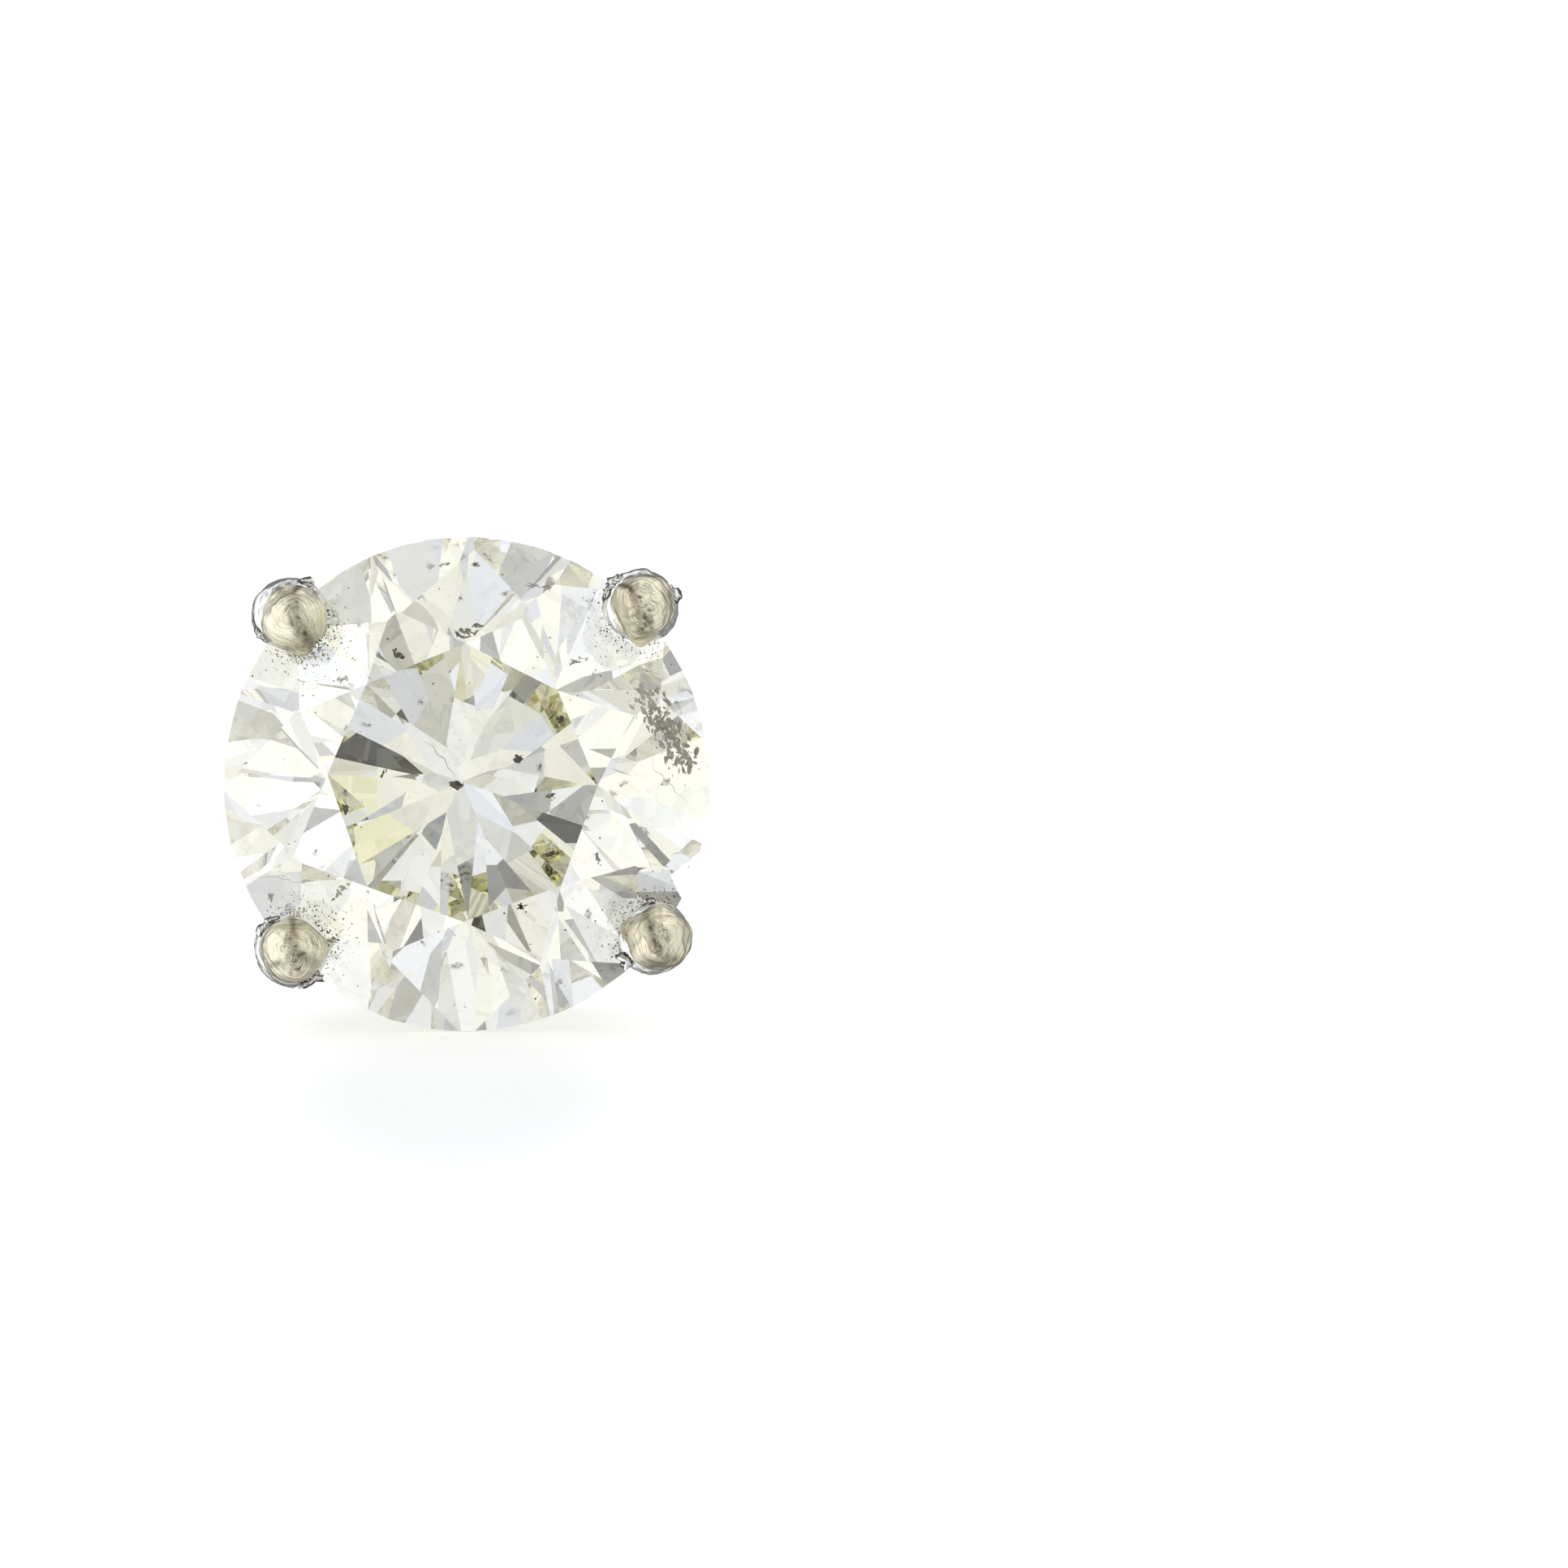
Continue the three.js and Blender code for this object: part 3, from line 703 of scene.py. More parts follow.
def metal(name, bare):
    """White gold. The plated colour turns to the bare one where the worn share, a number or the
    attribute "worn", and the grain say so. Painted shade darkens the grooves and contact lines
    that the piece's shade attribute marks, more deeply in the grain's hollows, and a brown painted
    dark reflection lies where its reflection attribute says.
    Grain and tool streaks feed the colour, the roughness and one bump."""
    material, tree, shader = new_material(name)
    worn, grain_size, seed, roughness, streak, shade_base = METALS[name]
    grain = place_group(tree, "metal_grain", grain_group, {"Size": grain_size, "Seed": seed})
    broad = place_group(tree, "metal_grain", grain_group, {
        "Size": grain_size * BROAD_GRAIN, "Seed": seed + 3})
    marks = place_group(tree, "tool_streaks", streak_group, {
        "Spacing": STREAK_SPACING, "Reach": STREAK_REACH, "Seed": seed})
    patchy = calculate(tree, "MULTIPLY", broad["Height"], WEAR_UNEVEN)
    wear = calculate(tree, "SUBTRACT", read(tree, "worn") if worn is None else worn, WEAR_STARTS)
    share = held(tree, calculate(tree, "ADD", wear, patchy))
    colour = mixed(tree, share, opaque(colours().silver), opaque(bare))
    dull = calculate(tree, "MULTIPLY", marks["Dark"], DULL_STREAKS * min(1.0, streak * 1.5))
    dull = calculate(tree, "MULTIPLY_ADD", grain["Hollows"], DULL_HOLLOWS, dull)
    colour = mixed(tree, dull, colour, opaque([DULL_TONE * part for part in bare]))
    # Painted dark reflection: a brown colour laid where the piece's reflection attribute says, broken up
    # by the broad grain.
    uneven = calculate(tree, "MULTIPLY_ADD", broad["Height"], REFLECTION_UNEVEN, REFLECTION_LEAST)
    painted_reflection = held(tree, calculate(tree, "MULTIPLY", read(tree, "painted_reflection"), uneven))
    colour = mixed(tree, painted_reflection, colour, opaque(colours().painted_reflection))
    # Painted shade: the shade colour laid along grooves and contact lines, more deeply in the grain's
    # hollows.
    shade_strength = calculate(tree, "ADD", grain["Hollows"], shade_base)
    shade_share = held(tree, calculate(tree, "MULTIPLY", read(tree, "crevice"), shade_strength))
    colour = mixed(tree, shade_share, colour, opaque(colours().shade_colour))
    rough = calculate(tree, "MULTIPLY_ADD", broad["Height"], UNEVEN_ROUGH, roughness - UNEVEN_ROUGH / 2)
    rough = calculate(tree, "MULTIPLY_ADD", marks["Height"], STREAK_ROUGH * streak, rough)
    rough = calculate(tree, "MULTIPLY_ADD", share, WORN_ROUGH, rough)
    rough = calculate(tree, "MULTIPLY_ADD", shade_share, SHADED_ROUGH, rough)
    fine = calculate(tree, "MULTIPLY", grain["Height"], GRAIN_HEIGHT)
    height = calculate(tree, "MULTIPLY_ADD", marks["Height"], streak, fine)
    put(tree, shader, {"Base Color": colour, "Metallic": 1.0, "Roughness": rough,
                       "Normal": bumped(tree, METAL_BUMP, METAL_BUMP_DEPTH, height)})
    return material


def glass(name, roughness=0.0, bump_size=1.0, bump_depth=0.0):
    """The stone's glass: clear, with a plain transmission and index, and a body colour that comes
    from the absorption per metre. Ground glass gets its roughness and a bump from noise in object
    space, and polished glass is plain."""
    material, tree, shader = new_material(name)
    put(tree, shader, {"Base Color": WHITE, "Transmission Weight": 1.0, "IOR": DIAMOND_INDEX,
                       "Roughness": roughness})
    if bump_depth:
        grain = place_group(tree, "metal_grain", grain_group, {"Size": bump_size, "Seed": 4.0})
        rough = calculate(tree, "MULTIPLY_ADD", grain["Hollows"], roughness, roughness / 2)
        put(tree, shader, {"Roughness": rough, "Normal": bumped(tree, 1.0, bump_depth, grain["Height"])})
    volume = add(tree, "ShaderNodeVolumeAbsorption", {"Color": BODY_COLOUR, "Density": BODY_DENSITY})
    tree.links.new(volume.outputs[0], tree.nodes["Material Output"].inputs["Volume"])
    return material


def mineral(name, dark, pale):
    """Opaque specks in the stone: from dark to pale by the attribute "tone" and by noise."""
    material, tree, shader = new_material(name)
    grain = place_group(tree, "metal_grain", grain_group, {"Size": MINERAL_GRAIN, "Seed": 9.0})
    uneven = calculate(tree, "MULTIPLY_ADD", grain["Height"], MINERAL_UNEVEN, -MINERAL_UNEVEN / 2)
    share = held(tree, calculate(tree, "ADD", read(tree, "tone"), uneven))
    depth = add(tree, "ShaderNodeLightPath").outputs["Ray Depth"]
    rough = calculate(tree, "MULTIPLY_ADD", grain["Hollows"], MINERAL_HOLLOWS_ROUGH, MINERAL_ROUGH)
    bump = bumped(tree, MINERAL_BUMP, MINERAL_BUMP_DEPTH * MINERAL_GRAIN, grain["Height"])
    put(tree, shader, {"Base Color": mixed(tree, share, opaque(dark), opaque(pale)), "Roughness": rough,
                       "Alpha": ranged(tree, depth, *SEEN_DIRECTLY, 1.0, REPEATED_SPECK_STRENGTH,
                                       smooth=False),
                       "Normal": bump})
    return material


# The stone

def slope_normal(slope, bearing, way=1.0):
    """The normal of a plane that slopes down towards a bearing, both in degrees."""
    slope, bearing = math.radians(slope), math.radians(bearing)
    return np.array([math.sin(slope) * math.cos(bearing), math.sin(slope) * math.sin(bearing),
                     way * math.cos(slope)])


def polar(radius, bearing, height):
    """A point by its distance from the axis, its bearing in degrees and its height."""
    turn = math.radians(bearing)
    return np.array([radius * math.cos(turn), radius * math.sin(turn), height])


def three_point_plane(first, second, third, way):
    """The normal of the plane through three points that has the asked sign of z, and its distance."""
    normal = np.cross(second - first, third - first)
    normal *= np.sign(normal[2] * way) / np.linalg.norm(normal)
    return normal, normal @ first


def facet_planes():
    """Normals and distances of the stone's facets, first the crown's and then the pavilion's.
    A kite goes through its table corner and a star through two of them. A pair of upper halves
    meets two girdle points and the tip of the star, and a pair of lower halves two girdle points and
    the tip between two mains, which go through the culet. Every angle has its own small error."""
    size, random = sizes(), np.random.default_rng(CUT_SEED)
    radius, girdle = girdle_radius(), in_mm(size.girdle)
    crown, pavilion, star = (math.degrees(a) for a in (
        size.crown_angle, size.pavilion_angle, size.star_angle))
    scatter, spread, turn = (math.degrees(a) for a in (
        size.crown_scatter, size.pavilion_scatter, size.turn_scatter))
    kite_slope, kite_turn, star_slope = (random.normal(0, part, 8) for part in (scatter, turn, scatter))
    upper_skew = random.normal(0, scatter, 16) * SKEW_PER_DEGREE
    main_slope, main_turn = random.normal(0, spread, 8), random.normal(0, turn, 8)
    lower_skew = random.normal(0, spread, 16) * SKEW_PER_DEGREE
    rise = math.tan(math.radians(crown))
    top = (radius - MEAN_TABLE_REACH) * rise
    corners = [polar(reach, bearing, top) for bearing, reach in TABLE_CORNERS]
    fall = math.tan(math.radians(star))
    tip = (top + MEAN_TABLE_REACH * NARROW * fall - radius * rise) / (fall - NARROW * rise)
    tip_height = (radius - tip * NARROW) * rise
    steep = math.tan(math.radians(pavilion))
    culet = np.array([CULET_X, CULET_Y, -girdle - radius * steep])
    low_tip = radius * (1 - size.lower_halves)
    low_height = -girdle - (radius - low_tip * NARROW) * steep
    aside = np.array([CULET_X, CULET_Y, 0.0]) * size.lower_halves
    upper, lower = [(np.array([0.0, 0.0, 1.0]), top)], []
    for k in range(8):
        main = k * EIGHTH
        normal = slope_normal(crown + kite_slope[k], main + kite_turn[k])
        upper.append((normal, normal @ corners[k]))
        edge = corners[(k + 1) % 8] - corners[k]
        normal = slope_normal(star + star_slope[k], math.degrees(math.atan2(-edge[0], edge[1])))
        upper.append((normal, normal @ corners[k]))
        normal = slope_normal(pavilion + main_slope[k], main + main_turn[k], -1.0)
        lower.append((normal, normal @ culet))
        for j, side in enumerate((EIGHTH / 2, -EIGHTH / 2)):
            skew, low_skew = upper_skew[2 * k + j], lower_skew[2 * k + j]
            upper.append(three_point_plane(
                polar(radius, main, skew), polar(radius, main + side, -skew),
                polar(tip, main + side, tip_height), 1))
            lower.append(three_point_plane(
                polar(radius, main, low_skew - girdle), polar(radius, main + side, -girdle - low_skew),
                polar(low_tip, main + side, low_height) + aside, -1))
    return upper, lower


def crown_height(x, y, upper):
    """Height of the crown's surface over x and y: the lowest of its facet planes there."""
    normals = np.array([normal for normal, distance in upper])
    distances = np.array([distance for normal, distance in upper])
    across = np.multiply.outer(x, normals[:, 0]) + np.multiply.outer(y, normals[:, 1])
    return ((distances - across) / normals[:, 2]).min(-1)


def stone_outline():
    """The girdle's outline seen face on: the oval, less a rough bite for each chip and the fine
    unevenness of a ground edge."""
    bearings = circle(GIRDLE_STEPS)
    reach = girdle_reach(bearings)
    rounds = points_of(np.cos(bearings), np.sin(bearings), 0.0) * girdle_radius()
    reach = reach - EDGE_ROUGH * (1 + ripples(rounds, EDGE_GRAIN, 3))
    for bearing, half_width, depth in GIRDLE_CHIPS:
        bite = bump_of(angle_from(bearings, math.radians(bearing)), 0, math.radians(half_width)) ** 0.5
        reach = reach - depth * bite * (1 + CHIP_ROUGH * ripples(rounds, CHIP_GRAIN, 8))
    return bearings, reach


def stone_object(upper, lower):
    """The cut stone. A prism on the girdle's outline is cut down by one facet plane after another,
    and each cut is closed with a flat face, so the facets meet in sharp edges that a grid of points
    can't give. Faces on the girdle get the second material."""
    bearings, reach = stone_outline()
    ring = np.stack([reach * np.cos(bearings), reach * np.sin(bearings)], 1)
    ends = [np.column_stack([ring, np.full(GIRDLE_STEPS, height)]) for height in (BLANK_BOTTOM, BLANK_TOP)]
    cut = bmesh.new()
    corners = [[cut.verts.new(point) for point in end] for end in ends]
    for k in range(GIRDLE_STEPS):
        following = (k + 1) % GIRDLE_STEPS
        cut.faces.new((corners[0][k], corners[0][following], corners[1][following], corners[1][k]))
    cut.faces.new(corners[0][::-1])
    cut.faces.new(corners[1])
    for normal, distance in upper + lower:
        everything = cut.verts[:] + cut.edges[:] + cut.faces[:]
        made = bmesh.ops.bisect_plane(cut, geom=everything, dist=1e-6, plane_co=Vector(normal * distance),
                                      plane_no=Vector(normal), clear_outer=True)
        rim = [part for part in made["geom_cut"] if isinstance(part, bmesh.types.BMEdge)]
        if rim:
            bmesh.ops.edgeloop_fill(cut, edges=rim)
    bmesh.ops.recalc_face_normals(cut, faces=cut.faces[:])
    for face in cut.faces:
        face.material_index = int(abs(face.normal.z) < GIRDLE_FACES)
    mesh = bpy.data.meshes.new("stone")
    cut.to_mesh(mesh)
    cut.free()
    turn = np.eye(4)
    turn[:3, :3] = AXES * MM
    turn[:3, 3] = frame_origin()
    mesh.transform(Matrix(turn))
    mesh.shade_flat()
    piece = bpy.data.objects.new("stone", mesh)
    bpy.context.scene.collection.objects.link(piece)
    return piece


def lumps(centres, lengths, widths, heights, turns, seed, rings=8, sides=10):
    """Small rough lumps: ellipsoids on a grid of latitude and longitude, whose radius varies with
    noise, turned in the face's plane and set on their centres. All are worked out in one array."""
    latitude = np.linspace(-math.pi / 2, math.pi / 2, rings + 2)[1:-1, None]
    longitude = circle(sides)
    ball = points_of(np.cos(latitude) * np.cos(longitude), np.cos(latitude) * np.sin(longitude),
                     np.sin(latitude))
    spread = ball + np.arange(len(centres))[:, None, None, None] * LUMPS_APART
    rough = 1
    for k, (height, wavelength) in enumerate(LUMP_NOISE):
        rough = rough + height * ripples(spread, wavelength, seed + k)
    grids = ball * rough[..., None] * np.stack([lengths, widths, heights], -1)[:, None, None] / 2
    turns = turns[:, None, None]
    x = grids[..., 0] * np.cos(turns) - grids[..., 1] * np.sin(turns)
    y = grids[..., 0] * np.sin(turns) + grids[..., 1] * np.cos(turns)
    return np.stack([x, y, grids[..., 2]], -1) + centres[:, None, None]


def lump_object(name, grids, tones):
    """One object of many lumps, with the attribute "tone" on the vertices of each."""
    return ring_object(name, grids, tone=np.broadcast_to(tones[:, None, None], grids.shape[:3]))


def tube_grid(path, radius, sides=8):
    """A thin tube: at each point of a path in the face's plane a circle across its direction, whose
    radius falls to a point at both ends as the root of a squared cosine."""
    along = unit(np.gradient(path, axis=0))
    side = np.cross(along, [0.0, 0.0, 1.0])
    up = np.cross(side, along)
    round_ = circle(sides)[:, None]
    taper = bump_of(np.linspace(-1, 1, len(path)), 0, PAST_THE_ENDS) ** 0.5
    taper = radius * (TUBE_POINT + (1 - TUBE_POINT) * taper)[:, None, None]
    return path[:, None] + taper * (np.cos(round_) * side[:, None] + np.sin(round_) * up[:, None])


class BuildStone(Operator):
    """Cuts the stone, facet by facet"""
    bl_idname = "stud.build_stone"
    bl_label = "Stone"

    def execute(self, context):
        upper, lower = facet_planes()
        piece = stone_object(upper, lower)
        clear = glass("pale_yellow_brilliant")
        frosted = glass("ground_girdle", GROUND_ROUGHNESS, GROUND_GRAIN, GROUND_BUMP)
        dress(piece, [clear, frosted], "stone", "stone")
        return {"FINISHED"}


def under_crown(x, y, depth, upper):
    """Points at x and y, a depth under the crown's surface."""
    return np.column_stack([x, y, crown_height(x, y, upper) - depth])


def moved_by(x, y, along, aside, turn):
    """x and y moved by two distances, along a direction and to the left of it."""
    return x + along * np.cos(turn) - aside * np.sin(turn), y + along * np.sin(turn) + aside * np.cos(turn)


def crystal_shards(upper, random):
    """Shapes and tones of the crystals: each row of CRYSTALS becomes a cluster of shards, spread like
    the crystal's own oval and each a share of its size."""
    rows = np.repeat(np.array(CRYSTALS, float), CRYSTAL_SHARDS, axis=0)
    count, turn = len(rows), np.radians(rows[:, 5])
    along, aside = (random.normal(0, CRYSTAL_SPREAD, count) * rows[:, k] for k in (3, 4))
    x, y = moved_by(rows[:, 0], rows[:, 1], along, aside, turn)
    share = random.uniform(*SHARD_SHARES, (2, count))
    grids = lumps(under_crown(x, y, rows[:, 2], upper), share[0] * rows[:, 3], share[1] * rows[:, 4],
                  SHARD_FLATNESS * share[1] * rows[:, 4], turn + random.normal(0, SHARD_TURNS, count), 21)
    return grids, np.clip(rows[:, 6] + random.normal(0, SHARD_TONES, count), 0, 1)


def seam_shards(upper, random):
    """Shapes and tones of the broken seam: slivers scattered about its path, mostly small ones."""
    path, count = np.array(SEAM_PATH), SEAM_SHARDS
    where = random.uniform(0, len(path) - 1, count)
    x, y = (np.interp(where, range(len(path)), path[:, k]) + random.normal(0, SEAM_SPREAD[k], count)
            for k in (0, 1))
    size = SEAM_LEAST + SEAM_MORE * random.uniform(0, 1, count) ** SEAM_SMALLNESS
    centres = under_crown(x, y, random.uniform(*SEAM_DEPTHS, count), upper)
    grids = lumps(centres, size, size * random.uniform(*SEAM_WIDTHS, count), size * SEAM_FLATNESS,
                  random.normal(SEAM_TURN, SEAM_TURNS, count), 22)
    return grids, random.uniform(0.0, 1.0, count) ** SEAM_PALENESS


def crack_tubes(upper):
    """Shapes and tones of the fine cracks: a straight line, bowed by half a sine wave and wandering a
    little, becomes a thin tube under the crown's surface."""
    ends = np.array(HAIRLINES)
    share = np.linspace(0, 1, CRACK_POINTS)[None, :, None]
    start, stop = ends[:, None, 0:2], ends[:, None, 2:4]
    across = unit(np.stack([start[..., 1] - stop[..., 1], stop[..., 0] - start[..., 0]], -1))
    flat = start + share * (stop - start) + across * ends[:, None, 4:5] * np.sin(math.pi * share)
    level = np.concatenate([flat, 0 * flat[..., :1]], -1)
    flat += CRACK_WANDER * ripples(level, CRACK_WAVES, 6)[..., None]
    height = crown_height(flat[..., 0], flat[..., 1], upper) - CRACK_DEPTH
    paths = np.concatenate([flat, height[..., None]], -1)
    return np.stack([tube_grid(each, CRACK_RADIUS) for each in paths]), np.full(len(ends), CRACK_TONE)


def surface_specks(upper, random):
    """Shapes and tones of the specks on the crown: thick on the stone's side of each bead and rarer
    away from it, evenly over the face, and pale ones in the residue beside the upper left bead."""
    beads = np.array([[bearing, girdle_reach(math.radians(bearing)) - inset - rest[-2], rest[-1]]
                      for _, bearing, inset, *rest in PRONGS])
    middle = np.repeat(beads, PITS_PER_BEAD, axis=0)
    total = len(middle)
    turn = np.radians(middle[:, 0])
    away = turn + math.pi + random.normal(0, PITS_FAN, total)
    gap = in_mm(sizes().bead_diameter) / 2 + PITS_GAP + random.exponential(PITS_REACH, total)
    x, y = moved_by(gap * np.cos(away), gap * np.sin(away), middle[:, 1], middle[:, 2], turn)
    near = random.uniform(0, FULL_TURN, FACE_SPECKS)
    far = girdle_radius() * 0.95 * np.sqrt(random.uniform(0.05, 1, FACE_SPECKS))
    x, y = np.append(x, far * np.cos(near)), np.append(y, far * np.sin(near))
    x, y = (np.append(part, RESIDUE[k] + RESIDUE[k + 2] * random.normal(0, 1, RESIDUE_GRAINS))
            for k, part in enumerate((x, y)))
    tone = np.append(random.uniform(*DARK_TONES, len(x) - RESIDUE_GRAINS),
                     random.uniform(*PALE_TONES, RESIDUE_GRAINS))
    inside = np.hypot(x, y) < girdle_radius() - SPECK_FREE_RIM
    x, y, tone = x[inside], y[inside], tone[inside]
    size = SPECK_LEAST + SPECK_MORE * random.uniform(0, 1, len(x)) ** SPECK_SMALLNESS
    grids = lumps(under_crown(x, y, 0.0, upper), size, size * random.uniform(*SPECK_WIDTHS, len(x)),
                  size * SPECK_FLATNESS, random.uniform(0, math.pi, len(x)), 23, rings=4, sides=6)
    return grids, tone


class BuildInclusions(Operator):
    """Sets the crystals, the broken seam, the fine cracks and the pits into the stone"""
    bl_idname = "stud.build_inclusions"
    bl_label = "Inclusions"

    def execute(self, context):
        upper, _ = facet_planes()
        paint, random = colours(), np.random.default_rng(5)
        dark = mineral("dark_crystal", paint.crystal, paint.feather)
        olive = mineral("broken_seam", paint.seam, paint.feather)
        dress(lump_object("stone_crystals", *crystal_shards(upper, random)), [dark], "stone")
        dress(lump_object("stone_seam", *seam_shards(upper, random)), [olive], "stone")
        dress(lump_object("stone_cracks", *crack_tubes(upper)), [dark], "stone")
        dress(lump_object("stone_pits", *surface_specks(upper, random)), [dark], "stone")
        return {"FINISHED"}


# The setting

def prong_centre_line(reach, rise):
    """Distance from the axis and height along a prong: a straight flare from the base, a bend that
    is a quadratic curve towards the girdle, and a straight stand up to the rise."""
    front = base_front()
    foot, corner = np.array([PRONG_FOOT, front]), np.array([reach, -PRONG_BEND])
    flare = corner - foot
    length = np.linalg.norm(flare)
    below = corner - flare * PRONG_BEND / length
    start = foot - flare * FOOT_DEPTH / length
    t = np.linspace(0, 1, BEND_RINGS)[:, None]
    bend = (1 - t) ** 2 * below + 2 * t * (1 - t) * corner + t ** 2 * np.array([reach, 0.0])
    lower = start + np.linspace(0, 1, FLARE_RINGS + 1)[:-1, None] * (below - start)
    up = np.linspace(0, 1, STAND_RINGS + 1)[1:, None] * np.array([0.0, rise + SHOULDER[0][1]])
    return np.concatenate([lower, bend, np.array([reach, 0.0]) + up])


def run_length(points):
    """The length of a polyline up to each of its points, as a column."""
    return np.append(0.0, np.cumsum(np.linalg.norm(np.diff(points, axis=0), axis=1)))[:, None]


def seat_edge(points, gap):
    """How far from the axis the stone's outline is at points, and a gap more: a cone over the
    girdle, the girdle itself and a cone under it."""
    size = sizes()
    bearings = np.arctan2(points[..., 1], points[..., 0])
    z = points[..., 2]
    crown = z / math.tan(size.crown_angle)
    pavilion = (-in_mm(size.girdle) - z) / math.tan(math.radians(CAD_PAVILION_ANGLE))
    top = (girdle_radius() - MEAN_TABLE_REACH) * math.tan(size.crown_angle)
    edge = girdle_reach(bearings) + gap - np.maximum(np.maximum(crown, pavilion), 0)
    return np.where(z < top, edge, 0.0)


def out_of_the_seat(points, gap):
    """Points moved straight away from the axis until they clear the stone's outline."""
    reach = np.hypot(points[..., 0], points[..., 1])
    grow = np.maximum(seat_edge(points, gap) / np.maximum(reach, 1e-6), 1)
    return points * np.stack([grow, grow, np.ones_like(grow)], -1)


def prong_grid(name, bearing, inset, flat_side, flat_depth, lip_side, lip_length, shift_in, shift_along):
    """One prong as rings round its centre line. Up to the shoulder a ring is a circle across the
    line. From there the SHOULDER profile steps in, and the bead is half an ellipse turned round an
    upright axis of its own. The bead's rings are pressed in on the flat side and drawn out
    on the lip's side, and noise dents the metal. Then the seat is cut."""
    size = sizes()
    rise, wire = in_mm(size.prong_rise), in_mm(size.prong_wire) / 2
    bead, tall = in_mm(size.bead_diameter) / 2, in_mm(size.bead_height)
    reach = girdle_reach(math.radians(bearing)) - inset
    line = prong_centre_line(reach, rise)
    slope = unit(np.gradient(line, axis=0))
    share = np.linspace(0, len(SHOULDER) - 1, SHOULDER_RINGS + 1)[1:]
    step = np.stack([np.interp(share, range(len(SHOULDER)), part) for part in zip(*SHOULDER)], 1)
    start = math.asin(SHOULDER[-1][1] / tall)
    climb = np.linspace(start, math.pi / 2, DOME_RINGS + 2)[1:-1]
    dome = np.stack([bead * np.cos(climb) ** DOME_FULLNESS, tall * np.sin(climb) * DOME_HEIGHT,
                     np.ones(DOME_RINGS)], 1)
    top = np.concatenate([step, dome])
    centres = np.concatenate([line, np.stack([reach - shift_in * top[:, 2], rise + top[:, 1]], 1)])
    aside = shift_along * np.append(np.zeros(len(line)), top[:, 2])[:, None]
    across = np.concatenate([np.stack([slope[:, 1], -slope[:, 0]], 1), np.tile([1.0, 0.0], (len(top), 1))])
    radii = np.concatenate([np.full(len(line), wire), top[:, 0]])
    round_ = circle(PRONG_SIDES)
    turn = math.radians(bearing)
    rings = np.arange(len(radii)) - len(line)

    def grown(first, count):
        """From 0 to 1 over some rings, counted from the wire's end."""
        return np.clip((rings - first) / count, 0, 1)[:, None]

    on_bead = grown(*BEAD_FORMS)
    lean = bump_of(angle_from(round_ + turn, math.radians(flat_side)), 0, FLAT_HALF)
    lip = bump_of(angle_from(round_ + turn, math.radians(lip_side)), 0, LIP_HALF)
    low = bump_of(radii / bead, LIP_LEVEL, LIP_DEPTH)[:, None] * on_bead
    radius = radii[:, None] - flat_depth * lean * on_bead + lip_length * lip * low
    out = radius * np.cos(round_)
    along_r = centres[:, :1] + out * across[:, :1]
    height = centres[:, 1:] + out * across[:, 1:] - LIP_DROP * lip_length * lip * low
    side = radius * np.sin(round_) + aside

    def placed(r, t, z):
        """Points from their reach, their distance to the side and their height."""
        return np.stack([*moved_by(0.0, 0.0, r, t, turn), z], -1)

    grid = placed(along_r, side, height)
    outward = grid - placed(centres[:, :1], aside, centres[:, 1:])
    outward = unit(outward + np.array([0, 0, 1.0]) * on_bead[..., None] * DENTS_UPWARDS)
    seed = int(bearing)
    dents = DENTS * ripples(grid, DENT_WAVES, seed) + FINE_DENTS * ripples(grid, FINE_DENT_WAVES, seed + 1)
    dents = (WIRE_DENTS + (1 - WIRE_DENTS) * grown(*DENTS_GROW)) * dents
    free = grid + outward * dents[..., None]
    touch = np.hypot(free[..., 0], free[..., 1]) - seat_edge(free, SEAT_GAP)
    grid = out_of_the_seat(free, SEAT_GAP)
    # Painted shade: a dark line where the bead meets the stone, and lines round the shoulder, broken up by
    # noise.
    broken = SHADE_LINE_MEAN + SHADE_LINE_BREAKS * ripples(grid, SHADE_LINE_WAVES, seed + 2)
    shade_mask = bump_of(touch, 0, CONTACT_SHADE) * (free[..., 2] > 0) * (0.5 + broken)
    for ring, half_width, strength in SHADE_RINGS:
        shade_ring = strength * bump_of(rings, ring, half_width)[:, None] * broken
        shade_mask = np.maximum(shade_mask, shade_ring)
    # Painted dark reflections on the bead, from its strokes.
    painted_reflection = bead_reflections([row[1:] for row in PAINTED_REFLECTIONS if PRONGS[row[0]][0] == name],
                        grid[..., :2] - grid[-1, :, :2].mean(0), bead) * (rings > PAINTED_REFLECTIONS_FROM)[:, None]
    worn = grown(*PLATING_GOES) * np.ones(PRONG_SIDES)
    from_pole = run_length(np.stack([radii, centres[:, 1]], 1)[::-1])[::-1]
    streak = points_of(np.cos(round_), np.sin(round_), from_pole + STREAK_WAVER * np.cos(3 * round_))
    streak[rings <= 0] *= (WIRE_LINES, WIRE_LINES, 1 / WIRE_LINES / WIRE_LINES)
    marks = {"crevice": np.clip(shade_mask, 0, 1), "worn": worn, "streak": streak, "painted_reflection": painted_reflection}
    return grid[None], {label: values[None] for label, values in marks.items()}


